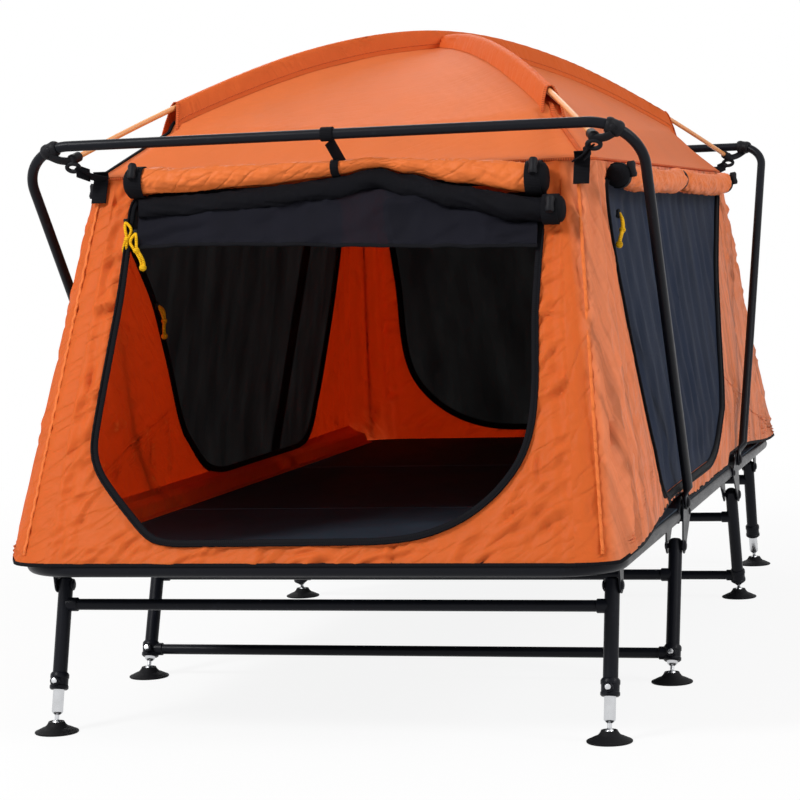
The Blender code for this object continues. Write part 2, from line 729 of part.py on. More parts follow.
def pole_apex(slope):
    """The pole that rises to the front right and rear left passes under the other."""
    return POLE_APEX_Z if slope > 0 else POLE_APEX_Z - POLE_CROSS


def pole_path(slope, low, high, steps):
    """Points on a pole; slope 1 runs from the front left to the rear right, and -1 the other way."""
    apex = pole_apex(slope)
    path = []
    for i in range(steps + 1):
        reach = mix(low, high, i / steps)
        height = pole_height(abs(reach), apex)
        path.append(Vector((slope * reach * POLE_DIR[0], reach * POLE_DIR[1], height)))
    return path


def pole_plane(slope):
    return Vector((POLE_DIR[1], -slope * POLE_DIR[0], 0))


def pole(slope):
    return sweep(pole_path(slope, -POLE_END, POLE_END, POLE_STATIONS), POLE_R, pole_plane(slope), PIN_SIDES)


def hoop_clamp(end, side):
    """A block round the hoop's top bar with the socket that a roof pole ends in."""
    centre = Vector((side * CLAMP_X, end * HOOP_TOP_Y, HOOP_TOP_Z))
    slope = end * side
    apex = pole_apex(slope)
    rise = pole_height(CLAMP_REACH - SOCKET_LEN, apex) - HOOP_TOP_Z
    inward = Vector((-side * POLE_DIR[0] * SOCKET_LEN, -end * POLE_DIR[1] * SOCKET_LEN, rise)).normalized()
    half = Vector((CLAMP_HALF_W, 0, 0))
    over = Vector((CUT_OVER, 0, 0))
    flat = pole_plane(slope)
    block = rod(centre - half, centre + half, CLAMP_R, TUBE_SIDES, (0, 0, 1))
    socket = rod(centre, centre + inward * SOCKET_LEN, SOCKET_OUT_R, PIN_SIDES, flat)
    return cut(joined(block, socket),
               hole(centre - half - over, centre + half + over, HOOP_R + GAP, TUBE_SIDES, (0, 0, 1)),
               hole(centre + inward * (POLE_STOP - PIN_FIT), centre + inward * (SOCKET_LEN + CUT_OVER),
                    POLE_R + SLIDE_FIT, PIN_SIDES, flat))


# Tent

def wall_share(z):
    return (z - HEM_Z) / (EAVE_Z - HEM_Z)


def half_width(z):
    return mix(HEM_HALF_W, EAVE_HALF_W, wall_share(z))


def half_length(z):
    return mix(HEM_HALF_L, EAVE_HALF_L, wall_share(z))


def corner_radius(z):
    return mix(HEM_CORNER_R, EAVE_CORNER_R, wall_share(z))


def wall_height(share):
    return mix(HEM_Z, EAVE_Z, share)


def side_hem(y):
    """Height of a side wall's lower edge: level with the front hem at the corners, up along the rails,
    over the hinge brackets and down to the deck between them."""
    y = abs(y)
    rail_hem = HEM_Z + SIDE_HEM_RISE * (1 - smooth(HEM_HALF_L - SIDE_HEM_RUN, HEM_HALF_L, y))
    bracket_hem = mix(BRACKET_HEM_Z, rail_hem, smooth(TUCK_FLAT_Y, TUCK_END_Y, y))
    return mix(DECK_TOP + BED_HEM_OVER, bracket_hem, smooth(BED_HEM_Y[0], BED_HEM_Y[1], y))


def tuck(hem_y, z):
    """How far a side wall stands in, to pass inside the hoop feet, at a column's place on the hem."""
    along = clamp((abs(hem_y) - TUCK_FLAT_Y) / (TUCK_END_Y - TUCK_FLAT_Y))
    return TUCK_IN * (1 - along) * (1 - clamp((z - HEM_Z) / TUCK_H))


def side_columns():
    """Places along a side wall, from its front seam to its rear seam: arcs at the corners, then a run.

    Each is (arc angle or None, share of the straight run), with a place at each change of the hem.
    """
    run_half = HEM_HALF_L - HEM_CORNER_R
    marks = [0, BED_HEM_Y[0], BED_HEM_Y[1], TUCK_FLAT_Y, TUCK_END_Y, run_half]
    half = []
    for start, stop, count in zip(marks, marks[1:], (4, 1, 2, 5, 1)):
        half += [mix(start, stop, i / count) / run_half for i in range(count)]
    half.append(1.0)
    run = [(None, -share) for share in reversed(half[1:])] + [(None, share) for share in half]
    arc = [mix(0, pi / 2, i / 3) for i in (1, 2, 3)]
    return [(-angle, -1.0) for angle in reversed(arc)] + run + [(angle, 1.0) for angle in arc]


def door_columns():
    """Evenly spaced places along the straight run, close enough to carry the door's folds."""
    count = ceil(8 * (EAVE_HALF_L - EAVE_CORNER_R) / DOOR_FOLD_PITCH)
    return [(None, mix(-1, 1, i / count)) for i in range(count + 1)]


def side_point(column, z):
    """Plan place and outward normal of the bare side wall at one column and height, for the +X side."""
    angle, share = column
    radius = corner_radius(z)
    width, length = half_width(z), half_length(z)
    if angle is None:
        y = share * (length - radius)
        return Vector((width - tuck(share * (HEM_HALF_L - HEM_CORNER_R), z), y, z)), Vector((1, 0, 0))
    normal = Vector((cos(angle), sin(angle), 0))
    return Vector((width - radius, (length - radius) * share, z)) + normal * radius, normal


def sheet_solid(outer, inner):
    """A closed solid between two grids of points, each a list of columns."""
    solid = bmesh.new()
    grids = [[[solid.verts.new(p) for p in column] for column in grid] for grid in (outer, inner)]
    columns, rows = len(outer), len(outer[0])
    for flip, grid in zip((False, True), grids):
        for i in range(columns - 1):
            for j in range(rows - 1):
                face = [grid[i][j], grid[i + 1][j], grid[i + 1][j + 1], grid[i][j + 1]]
                solid.faces.new(list(reversed(face)) if flip else face)
    rim = [(i, 0) for i in range(columns)] + [(columns - 1, j) for j in range(1, rows)]
    rim += [(i, rows - 1) for i in range(columns - 2, -1, -1)] + [(0, j) for j in range(rows - 2, 0, -1)]
    for (a, b), (c, d) in zip(rim, rim[1:] + rim[:1]):
        solid.faces.new((grids[0][a][b], grids[1][a][b], grids[1][c][d], grids[0][c][d]))
    bmesh.ops.recalc_face_normals(solid, faces=solid.faces)
    return solid


def side_rows(low, high):
    """Heights of the points of a side wall, with one where the tuck ends."""
    knot = HEM_Z + TUCK_H
    return [low, (low + knot) / 2] + [mix(knot, high, i / SIDE_ROWS) for i in range(SIDE_ROWS + 1)]


def side_sheet():
    """The +X side wall."""
    outer, inner = [], []
    for column in side_columns():
        low = side_hem(side_point(column, HEM_Z)[0].y)
        outer.append([])
        inner.append([])
        for z in side_rows(low, EAVE_Z - GAP):
            point, normal = side_point(column, z)
            outer[-1].append(point)
            inner[-1].append(point - normal * FABRIC)
    seam_shift(outer)
    seam_shift(inner)
    return sheet_solid(outer, inner)


def side_layer(columns, fold):
    """A thin layer just inside the +X side wall, with upright folds inward."""
    outer, inner = [], []
    for column in columns:
        outer.append([])
        inner.append([])
        for z in side_rows(wall_height(LAYER_SHARES[0]), wall_height(LAYER_SHARES[1])):
            point, normal = side_point(column, z)
            wave = 0.5 - 0.5 * cos(2 * pi * (point.y + DOOR_FOLD_LEAN * z) / DOOR_FOLD_PITCH)
            back = FABRIC + LAYER_GAP + fold * wave * sin(pi * clamp(wall_share(z))) ** 0.5
            outer[-1].append(point - normal * back)
            inner[-1].append(point - normal * (back + PANEL_T))
    return sheet_solid(outer, inner)


def seam_shift(grid):
    """Draw the first and last columns in by the seam gap."""
    for first, second in ((0, 1), (-1, -2)):
        for j, point in enumerate(grid[first]):
            step = (grid[second][j] - point).normalized()
            grid[first][j] = point + step * GAP


def end_sheet(columns, rows, inset, thickness, fold):
    """The front wall, or a layer behind it, between its corner seams."""
    outer, inner = [], []
    for i in range(columns + 1):
        across = mix(-1, 1, i / columns)
        outer.append([])
        inner.append([])
        for j in range(rows + 1):
            z = mix(HEM_Z, EAVE_Z - GAP, j / rows)
            x = across * (half_width(z) - corner_radius(z))
            wave = sin(pi * wall_share(z)) * (1 - across ** 4)
            wave *= sin(2 * pi * (x / FRONT_FOLD_PITCH + wall_share(z)))
            y = inset - half_length(z) - fold * wave
            outer[-1].append(Vector((x, y, z)))
            inner[-1].append(Vector((x, y + thickness, z)))
    seam_shift(outer)
    seam_shift(inner)
    return sheet_solid(outer, inner)


def turned_about(solid, half_turn=False, mirror_y=False):
    """Turn a solid by half a turn about +Z, or mirror it to the other end."""
    scale = Vector((-1 if half_turn else 1, -1 if half_turn or mirror_y else 1, 1))
    bmesh.ops.scale(solid, vec=scale, verts=solid.verts)
    bmesh.ops.recalc_face_normals(solid, faces=solid.faces)
    return solid


def door_outline(lap=0.0):
    """The D of the front door and of the rear window, in x and z, grown by a lap all round."""
    points = [(share * EAVE_HALF_W, wall_height(high)) for share, high in DOOR_SHARES]
    outline = points + [(-x, z) for x, z in reversed(points)]
    return grown(outline, lap)


def side_outline(lap=0.0):
    """The D of the right door and, turned half round, of the left window, in y and z."""
    shares = FRONT_EDGE_SHARES + REAR_EDGE_SHARES
    return grown([(share * EAVE_HALF_L, wall_height(high)) for share, high in shares], lap)


def grown(outline, lap):
    """Move the points of an outline out along the middle of its corners."""
    if not lap:
        return outline
    centre = (sum(a for a, _ in outline) / len(outline), sum(b for _, b in outline) / len(outline))
    result = []
    for a, b in outline:
        away = Vector((a - centre[0], b - centre[1])).normalized()
        result.append((a + away.x * lap, b + away.y * lap))
    return result


def through_side():
    return HEM_HALF_W * 0.6, HEM_HALF_W * 1.2


def through_front():
    return -HEM_HALF_L * 1.1, -EAVE_HALF_L * 0.8


def right_wall():
    return cut(side_sheet(), prism(side_outline(), *through_side()))


def left_wall():
    return turned_about(right_wall(), half_turn=True)


def front_wall():
    return cut(end_sheet(14, FRONT_ROWS, 0, FABRIC, FRONT_FOLD),
               prism(door_outline(), *through_front(), axis="y"))


def rear_wall():
    wall = cut(end_sheet(6, 2, 0, FABRIC, 0), prism(door_outline(), *through_front(), axis="y"))
    return turned_about(wall, mirror_y=True)


def right_door_mesh():
    return combine(side_layer(door_columns(), DOOR_FOLD), prism(side_outline(PANEL_LAP), *through_side()),
                   "INTERSECT")


def left_window_mesh():
    columns = [(None, share) for _, share in side_columns()[3:-3]]
    panel = combine(side_layer(columns, 0), prism(side_outline(PANEL_LAP), *through_side()), "INTERSECT")
    return turned_about(panel, half_turn=True)


def rear_window_mesh():
    panel = combine(end_sheet(6, 2, FABRIC + GAP, PANEL_T, 0),
                    prism(door_outline(PANEL_LAP), *through_front(), axis="y"), "INTERSECT")
    return turned_about(panel, mirror_y=True)


def plan_scale(x, y):
    """How far out a plan point lies, as a share of the eave outline through it."""
    x, y = abs(x), abs(y)
    share = max(x / EAVE_HALF_W, y / EAVE_HALF_L)
    if share == 0:
        return 0.0
    core = Vector((EAVE_HALF_W - EAVE_CORNER_R, EAVE_HALF_L - EAVE_CORNER_R))
    if x / share <= core.x or y / share <= core.y:
        return share
    ray = Vector((x, y))
    a, b, c = ray.dot(ray), ray.dot(core), core.dot(core) - EAVE_CORNER_R ** 2
    return a / (b + sqrt(b * b - a * c))


def corner_reach():
    """Distance from the middle to the eave's corner along the poles."""
    return 1.0 / plan_scale(*POLE_DIR)


def roof_top(x, y):
    """Height of the roof fabric: ridges under the poles, sagging panels between, a level eave."""
    share = plan_scale(x, y)
    reach = share * corner_reach()
    low_apex = POLE_APEX_Z - POLE_CROSS
    at_corner = pole_height(corner_reach(), low_apex) - ROOF_UNDER_POLE - (EAVE_Z + ROOF_T)
    ridge = pole_height(reach, low_apex) - ROOF_UNDER_POLE
    ridge -= at_corner * smooth(ROOF_TUCK_FROM, corner_reach(), reach)
    a, b = abs(x) / EAVE_HALF_W, abs(y) / EAVE_HALF_L
    corner = min(a, b) / max(a, b) if max(a, b) else 1.0
    return ridge - PANEL_SAG * 4 * share * (1 - share) * (1 - corner ** 2)


def eave_outline():
    """Plan points round the eave, with a point on each diagonal."""
    quarter = [(EAVE_HALF_W, EAVE_HALF_L * i / 4) for i in range(4)]
    core = (EAVE_HALF_W - EAVE_CORNER_R, EAVE_HALF_L - EAVE_CORNER_R)
    quarter += circle_points(core, EAVE_CORNER_R, 0, pi / 2, 4)
    quarter += [(EAVE_HALF_W * i / 3, EAVE_HALF_L) for i in (2, 1)]
    top = quarter + [(0, EAVE_HALF_L)] + [(-x, y) for x, y in reversed(quarter)]
    return top + [(-x, -y) for x, y in top[1:-1]]


def roof_sheet():
    """The roof fabric as rings from the middle to the eave."""
    outline = eave_outline()
    solid = bmesh.new()
    layers = []
    for depth in (0, ROOF_T):
        middle = solid.verts.new((0, 0, roof_top(0, 0) - depth))
        rings = []
        for k in range(1, ROOF_RINGS + 1):
            share = k / ROOF_RINGS
            rings.append([solid.verts.new((x * share, y * share, roof_top(x * share, y * share) - depth))
                          for x, y in outline])
        layers.append((middle, rings))
    count = len(outline)
    for middle, rings in layers:
        for i in range(count):
            j = (i + 1) % count
            solid.faces.new((middle, rings[0][i], rings[0][j]))
            for near, far in zip(rings, rings[1:]):
                solid.faces.new((near[i], far[i], far[j], near[j]))
    top_rim, low_rim = layers[0][1][-1], layers[1][1][-1]
    for i in range(count):
        j = (i + 1) % count
        solid.faces.new((top_rim[i], low_rim[i], low_rim[j], top_rim[j]))
    bmesh.ops.recalc_face_normals(solid, faces=solid.faces)
    return solid


def pole_sleeve(slope):
    """The stitched band over a pole: wide on the roof, narrow over the pole."""
    apex = pole_apex(slope)
    across = pole_plane(slope)
    rings = []
    for i in range(SLEEVE_STATIONS + 1):
        reach = mix(-SLEEVE_END, SLEEVE_END, i / SLEEVE_STATIONS)
        base = Vector((slope * reach * POLE_DIR[0], reach * POLE_DIR[1], 0))
        top = pole_height(abs(reach), apex) + SLEEVE_OVER
        points = []
        for offset in (-SLEEVE_HALF_W, 0, SLEEVE_HALF_W):
            place = base + across * offset
            points.append(Vector((place.x, place.y, roof_top(place.x, place.y) - SLEEVE_SUNK)))
        for offset in (SLEEVE_TOP_HALF_W, -SLEEVE_TOP_HALF_W):
            place = base + across * offset
            points.append(Vector((place.x, place.y, top)))
        rings.append(points)
    return rings_solid(rings)


def roof():
    solid = joined(roof_sheet(), pole_sleeve(1), pole_sleeve(-1))
    for slope in (1, -1):
        path = pole_path(slope, -POLE_END, POLE_END, POLE_STATIONS)
        solid = cut(solid, sweep(path, POLE_R + SLIDE_FIT, pole_plane(slope), PIN_SIDES))
    return solid


# Rolled flaps

def flap_roll(half_run, radius, squash, seat, along, out, up, flat_back=False):
    """A rolled flap: a lumpy roll that lies on its seat, or hangs flat against it."""
    rings = []
    for i in range(ROLL_STATIONS + 1):
        share = mix(-1, 1, i / ROLL_STATIONS)
        centre = seat + along * (share * half_run) + out * (radius * squash + ROLL_SEAT)
        narrow = 1 - 0.45 * smooth(0.93, 1.0, abs(share))
        points = []
        for k in range(ROLL_SIDES):
            angle = 2 * pi * k / ROLL_SIDES
            lump = ROLL_WAVE * (0.5 + 0.5 * sin(9 * share + 3 * angle)) * (0.5 - 0.5 * cos(angle + pi))
            size = radius * narrow - lump
            depth = size * squash * cos(angle)
            if flat_back and cos(angle) < FLAT_ANGLE:
                depth = -radius * squash
            points.append(centre + out * depth + up * (size * sin(angle)))
        rings.append(points)
    return rings_solid(rings)


def wall_slope(run):
    """Unit vectors out of a wall and up along it, from how far it leans in over its height."""
    rise = EAVE_Z - HEM_Z
    length = hypot(run, rise)
    return rise / length, run / length


def front_seat(z):
    out, lean = wall_slope(HEM_HALF_L - EAVE_HALF_L)
    return Vector((0, -half_length(z), z)), Vector((0, -out, lean)), Vector((0, lean, out))


def side_seat(z):
    out, lean = wall_slope(HEM_HALF_W - EAVE_HALF_W)
    return Vector((half_width(z), 0, z)), Vector((out, 0, lean)), Vector((-lean, 0, out))


def front_door_roll():
    seat, out, up = front_seat(FRONT_ROLL_Z)
    return flap_roll(FRONT_ROLL_HALF_L, ROLL_R, 1.0, seat, Vector((1, 0, 0)), out, up)


def front_door_mesh():
    """The mesh door, rolled loosely, hanging from the top of the doorway under the door roll."""
    seat, out, up = front_seat(MESH_ROLL_Z)
    return flap_roll(MESH_ROLL_HALF_L, MESH_ROLL_HALF_H, MESH_ROLL_HALF_T / MESH_ROLL_HALF_H, seat,
                     Vector((1, 0, 0)), out, up, flat_back=True)


def side_roll():
    seat, out, up = side_seat(SIDE_ROLL_Z)
    return flap_roll(SIDE_ROLL_HALF_L, ROLL_R, 1.0, seat, Vector((0, 1, 0)), out, up)


def build():
    for item in list(bpy.data.objects):
        bpy.data.objects.remove(item)
    carriers = Carriers()
    carriers.add("root", (0, 0, 0))
    for name, side in SIDES:
        carriers.hang(f"{name}_middle_rail", middle_rail(side), "black_tube", "root")
    carriers.hang("middle_deck", deck(middle_deck_outline()), "deck_fabric", "root")
    for end_name, end in ENDS:
        carriers.add(f"{end_name}_section", (0, end * HINGE_Y, PIN_Z), "root")
        carriers.hang(f"{end_name}_frame", end_frame(end), "black_tube", f"{end_name}_section")
        carriers.hang(f"{end_name}_deck", deck(deck_outline(end)), "deck_fabric", f"{end_name}_section")
        carriers.add(f"{end_name}_hoop_pivot", (0, end * HINGE_Y, PIN_Z), "root")
        carriers.hang(f"{end_name}_hoop", hoop(end), "black_tube", f"{end_name}_hoop_pivot")
        for side_name, side in SIDES:
            carriers.hang(f"{end_name}_{side_name}_hinge_bracket", hinge_bracket(end, side), "black_plastic",
                          "root")
            carriers.hang(f"{end_name}_{side_name}_hoop_clamp", hoop_clamp(end, side), "black_plastic",
                          f"{end_name}_hoop_pivot")
        for kind, name, parent in (("end", end_name, f"{end_name}_section"),
                                   ("middle", f"{end_name}_middle", "root")):
            row = Row(end, kind)
            carriers.add(f"{name}_leg_pivot", row.pivot, parent)
            carriers.hang(f"{name}_leg_frame", leg_frame(row), "black_tube", f"{name}_leg_pivot")
            for side_name, side in SIDES:
                key = f"{name}_{side_name}"
                ball = row.point(side, row.ball_at)
                carriers.add(f"{key}_leg_slide", ball, f"{name}_leg_pivot")
                carriers.add(f"{key}_foot_ball", ball, f"{key}_leg_slide")
                carriers.hang(f"{key}_inner_leg", inner_leg(row, side), "aluminium", f"{key}_leg_slide")
                carriers.hang(f"{key}_foot", foot(row, side), "black_plastic", f"{key}_foot_ball")
                carriers.hang(f"{key}_leg_button", leg_button(row, side), "aluminium", f"{name}_leg_pivot")
    for name, slope in (("upper_roof_pole", 1), ("lower_roof_pole", -1)):
        carriers.hang(name, pole(slope), "fibreglass", "root")
    carriers.hang("roof", roof(), "roof_fabric", "root")
    for name, solid in (("front_wall", front_wall()), ("rear_wall", rear_wall()), ("left_wall", left_wall()),
                        ("right_wall", right_wall()), ("front_door_roll", front_door_roll()),
                        ("rear_window_roll", turned_about(front_door_roll(), half_turn=True)),
                        ("right_door_roll", side_roll()),
                        ("left_window_roll", turned_about(side_roll(), half_turn=True))):
        carriers.hang(name, solid, "orange_fabric", "root")
    for name, solid in (("front_door_mesh", front_door_mesh()), ("rear_window_mesh", rear_window_mesh()),
                        ("left_window_mesh", left_window_mesh()), ("right_door_mesh", right_door_mesh())):
        carriers.hang(name, solid, "black_mesh", "root")


build()
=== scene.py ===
"""Tent cot: a folding camp bed on telescopic legs, with an orange pole tent on two black hoops.

Metres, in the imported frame: +X to the right, the doorway at -Y, the floor at z = 0.
"""
from math import atan2, ceil, cos, hypot, pi, radians, sin, sqrt

import bmesh
import bpy
import numpy as np
from mathutils import Matrix, Vector, noise


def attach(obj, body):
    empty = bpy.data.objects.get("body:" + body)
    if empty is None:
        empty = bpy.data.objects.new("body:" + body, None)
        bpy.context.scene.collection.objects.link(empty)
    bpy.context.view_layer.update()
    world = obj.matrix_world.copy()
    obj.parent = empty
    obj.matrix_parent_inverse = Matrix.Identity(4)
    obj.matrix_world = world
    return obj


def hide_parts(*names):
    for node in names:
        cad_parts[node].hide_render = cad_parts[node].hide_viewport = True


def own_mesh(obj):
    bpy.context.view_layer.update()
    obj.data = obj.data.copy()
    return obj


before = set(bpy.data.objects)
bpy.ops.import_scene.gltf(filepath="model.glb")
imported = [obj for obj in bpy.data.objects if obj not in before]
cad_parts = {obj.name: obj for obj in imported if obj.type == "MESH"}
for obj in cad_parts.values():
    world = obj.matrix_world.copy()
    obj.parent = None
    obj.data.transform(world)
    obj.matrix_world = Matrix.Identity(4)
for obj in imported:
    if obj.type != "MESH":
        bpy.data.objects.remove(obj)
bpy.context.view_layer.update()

# Bed
RAIL_X, RAIL_R, RAIL_Z = 0.440, 0.012, 0.256
FRAME_END_Y, FRAME_CORNER_R = 0.968, 0.085
HINGE_Y, PIN_Z, RAIL_END_GAP = 0.352, 0.2765, 0.030
DECK_TOP, DECK_HALF_W, DECK_EDGE = 0.2713, 0.448, 0.003
DECK_MID_Y, DECK_END_Y = 0.349, 0.355
PLATE_IN, PLATE_OUT = 0.4523, 0.4548
INNER_PLATE_IN, INNER_PLATE_OUT = 0.4252, 0.4277
PLATE_EYE_R, PLATE_ARM_R, PLATE_ARM_Y = 0.013, 0.0105, 0.300
BRACKET_FROM, BRACKET_TO = 0.287, 0.388
WEB_END_Y, WEB_T = 0.320, 0.0022
HINGE_PIN_END = 0.4606
KNUCKLE_R, KNUCKLE_HALF_W = 0.0095, 0.010
LUG_R, LUG_HALF_L, LUG_T = 0.012, 0.0192, 0.003

# Legs and feet
END_LEG_X, END_LEG_Y, END_LEG_Z = 0.418, 0.838, 0.214
MID_LEG_Y, MID_LEG_Z = 0.366, 0.208
LEG_R, BORE_R, COLLAR_R, COLLAR_H = 0.011, 0.0092, 0.0142, 0.026
BOSS_R, BOSS_REACH, BOSS_RISE = 0.0072, 0.0205, 0.0115
INNER_R, INNER_LEN, BALL_Z = 0.0085, 0.125, 0.0135
BAR_R = 0.0085
FOOT_R = 0.033

# Hoops, poles and clamps
HOOP_R, HOOP_HALF_W, HOOP_FOOT_X = 0.008, 0.470, 0.4635
HOOP_BEND_R, FRONT_HOOP_LEFT = {"front": 0.078, "rear": 0.048}, 0.482
HOOP_TOP_Y, HOOP_TOP_Z = 0.789, 0.875
HOOP_LEAN = atan2(HOOP_TOP_Z - PIN_Z, HOOP_TOP_Y - HINGE_Y)
HOOP_LEN = hypot(HOOP_TOP_Y - HINGE_Y, HOOP_TOP_Z - PIN_Z)
POLE_R, POLE_APEX, POLE_CROSS = 0.00425, 1.073, 0.0105
CLAMP_X = 0.406
CLAMP_REACH = hypot(CLAMP_X, HOOP_TOP_Y)
POLE_DIR = (CLAMP_X / CLAMP_REACH, HOOP_TOP_Y / CLAMP_REACH)
POLE_END, POLE_DROOP = CLAMP_REACH - 0.0125, 0.024

# Tent walls and roof
HEM_Z, HEM_HALF_W, HEM_HALF_L, HEM_CORNER_R = 0.256, 0.4677, 0.984, 0.075
EAVE_Z, EAVE_HALF_W, EAVE_HALF_L, EAVE_CORNER_R = 0.824, 0.390, 0.744, 0.046
SIDE_RUN = HEM_HALF_L - HEM_CORNER_R
CORNER_SLOPE = (SIDE_RUN - EAVE_HALF_L + EAVE_CORNER_R) / (EAVE_Z - HEM_Z)
CORNER_RUN = SIDE_RUN + CORNER_SLOPE * HEM_Z
CORNER_SEAM_TURN, CORNER_STRIP = 1.05, 0.055
TUCK_IN, TUCK_H, TUCK_FLAT_Y, TUCK_END_Y = 0.019, 0.130, 0.430, 0.850
SLEEVE_END, SLEEVE_HALF_W = 0.655, 0.0175
ROOF_TUCK_FROM, PANEL_SAG = 0.665, 0.026
CLOTH_T, SEAM = 0.0012, 0.009
HEM_LIFT = 0.006

DOORWAY = ((0.828, 0.950), (0.820, 0.80), (0.815, 0.62), (0.83, 0.44), (0.825, 0.34), (0.79, 0.255),
           (0.70, 0.175), (0.58, 0.115), (0.44, 0.080), (0.30, 0.068))
DOORWAY_LEFT = ((-0.520, 0.064), (-0.600, 0.078), (-0.737, 0.172), (-0.825, 0.240), (-0.858, 0.300),
                (-0.846, 0.420), (-0.812, 0.680), (-0.800, 0.950))
SIDE_DOORWAY = ((-0.895, 0.945), (-0.925, 0.78), (-0.900, 0.55), (-0.845, 0.26), (-0.790, 0.135),
                (-0.700, 0.080), (0.02, 0.080), (0.14, 0.115), (0.30, 0.27), (0.42, 0.46),
                (0.56, 0.66), (0.74, 0.83), (0.87, 0.945))

ENDS = (("front", -1), ("rear", 1))
SIDES = (("left", -1), ("right", 1))


def mix(low, high, share):
    return low + (high - low) * share


def smooth(low, high, value):
    """A soft step from 0 to 1 between two values."""
    share = np.clip((value - low) / (high - low), 0.0, 1.0)
    return share * share * (3 - 2 * share)


def ease(low, high, value):
    """The same for one value."""
    return float(smooth(low, high, value))


def ripple(a, b, c):
    """Smooth noise, about -1 to 1."""
    return noise.noise(Vector((a, b, c)))


# Finishes

class Wire:
    """One output of a node; arithmetic on it adds Math nodes."""

    def __init__(self, nodes, socket):
        self.nodes, self.socket = nodes, socket

    def maths(self, operation, *others, turned=False):
        values = (*others, self) if turned else (self, *others)
        return self.nodes.node("ShaderNodeMath", {"operation": operation}, dict(enumerate(values)))

    def __add__(self, other):
        return self.maths("ADD", other)

    def __sub__(self, other):
        return self.maths("SUBTRACT", other)

    def __rsub__(self, other):
        return self.maths("SUBTRACT", other, turned=True)

    def __mul__(self, other):
        return self.maths("MULTIPLY", other)

    __radd__ = __add__
    __rmul__ = __mul__

    def wave(self):
        return self.maths("SINE")

    def size(self):
        return self.maths("ABSOLUTE")

    def share(self):
        """Held between 0 and 1."""
        return self.maths("MAXIMUM", 0.0).maths("MINIMUM", 1.0)

    def part(self, name):
        """Another output of the same node."""
        return Wire(self.nodes, self.socket.node.outputs[name])

    def ramp(self, *stops):
        return self.nodes.node("ShaderNodeValToRGB", {"stops": stops}, {0: self})


class Nodes:
    """The nodes of a finish or of the sky."""

    def __init__(self, tree):
        self.tree = tree

    def plug(self, socket, value):
        if isinstance(value, Wire):
            self.tree.links.new(value.socket, socket)
        elif socket.type == "RGBA":
            socket.default_value = (*value, 1.0)
        else:
            socket.default_value = value

    def node(self, kind, settings=None, values=None, output=0):
        """Add a node: its settings first, then the values or wires of its sockets."""
        node = self.tree.nodes.new(kind)
        for name, value in (settings or {}).items():
            if name != "stops":
                setattr(node, name, value)
                continue
            steps = node.color_ramp.elements
            steps[0].position, steps[-1].position = value[0][0], value[-1][0]
            steps[0].color, steps[-1].color = (*value[0][1], 1.0), (*value[-1][1], 1.0)
            for place, colour in value[1:-1]:
                steps.new(place).color = (*colour, 1.0)
        for name, value in (values or {}).items():
            self.plug(node.inputs[name], value)
        return Wire(self, node.outputs[output])

    def in_view(self):
        """1 for the camera's rays, also where they come by a mirror or through glass."""
        ray = self.node("ShaderNodeLightPath")
        mirrored = ray.maths("MAXIMUM", ray.part("Is Glossy Ray"))
        return mirrored.maths("MAXIMUM", ray.part("Is Transmission Ray"))


class Finish(Nodes):
    """A procedural material of this object."""

    def __init__(self, name, colour, roughness, **fixed):
        self.material = bpy.data.materials.new(name)
        self.material.use_nodes = True
        self.material.diffuse_color = (*colour, 1.0)
        super().__init__(self.material.node_tree)
        self.shader = self.tree.nodes["Principled BSDF"]
        self.colour = colour
        self.set("Base Color", colour)
        self.set("Roughness", roughness)
        for name, value in fixed.items():
            self.set(name.replace("_", " "), value)

    def set(self, name, value):
        """Give one of the shader's sockets a value or a wire."""
        self.plug(self.shader.inputs[name], value)

    def place(self, kind="UV"):
        """Coordinates in metres: along the cloth (UV), or in the frame (Object)."""
        return self.node("ShaderNodeTexCoord", output=kind)

    def stretched(self, place, sizes):
        return self.node("ShaderNodeVectorMath", {"operation": "MULTIPLY"}, {0: place, 1: sizes})

    def split(self, place):
        across = self.node("ShaderNodeSeparateXYZ", None, {0: place})
        return across, across.part("Y"), across.part("Z")

    def cloud(self, place, scale, detail=3.0, rough=0.55):
        return self.node("ShaderNodeTexNoise", None,
                         {"Vector": place, "Scale": scale, "Detail": detail, "Roughness": rough})

    def streaks(self, place, sizes, detail=3.0, rough=0.55):
        """Clouds drawn out along the cloth or the tube."""
        return self.cloud(self.stretched(place, sizes), 1.0, detail, rough)

    def blend(self, share, low, high):
        return self.node("ShaderNodeMix", {"data_type": "RGBA"}, {0: share, 6: low, 7: high}, output=2)

    def relief(self, height, depth, strength=1.0):
        bump = self.node("ShaderNodeBump", None, {"Height": height, "Distance": depth, "Strength": strength})
        self.set("Normal", bump)

    def cover(self, share, other):
        """Lay another shader over a share of this one."""
        own = Wire(self, self.shader.outputs[0])
        both = self.node("ShaderNodeMixShader", None, {0: share, 1: own, 2: other})
        self.plug(self.tree.nodes["Material Output"].inputs["Surface"], both)

    def lit_through(self, share, colour):
        """Let a share of the light through, as thin cloth does."""
        self.cover(share, self.node("ShaderNodeBsdfTranslucent", None, {"Color": colour}))


def shade(colour, amount):
    return tuple(channel * amount for channel in colour)


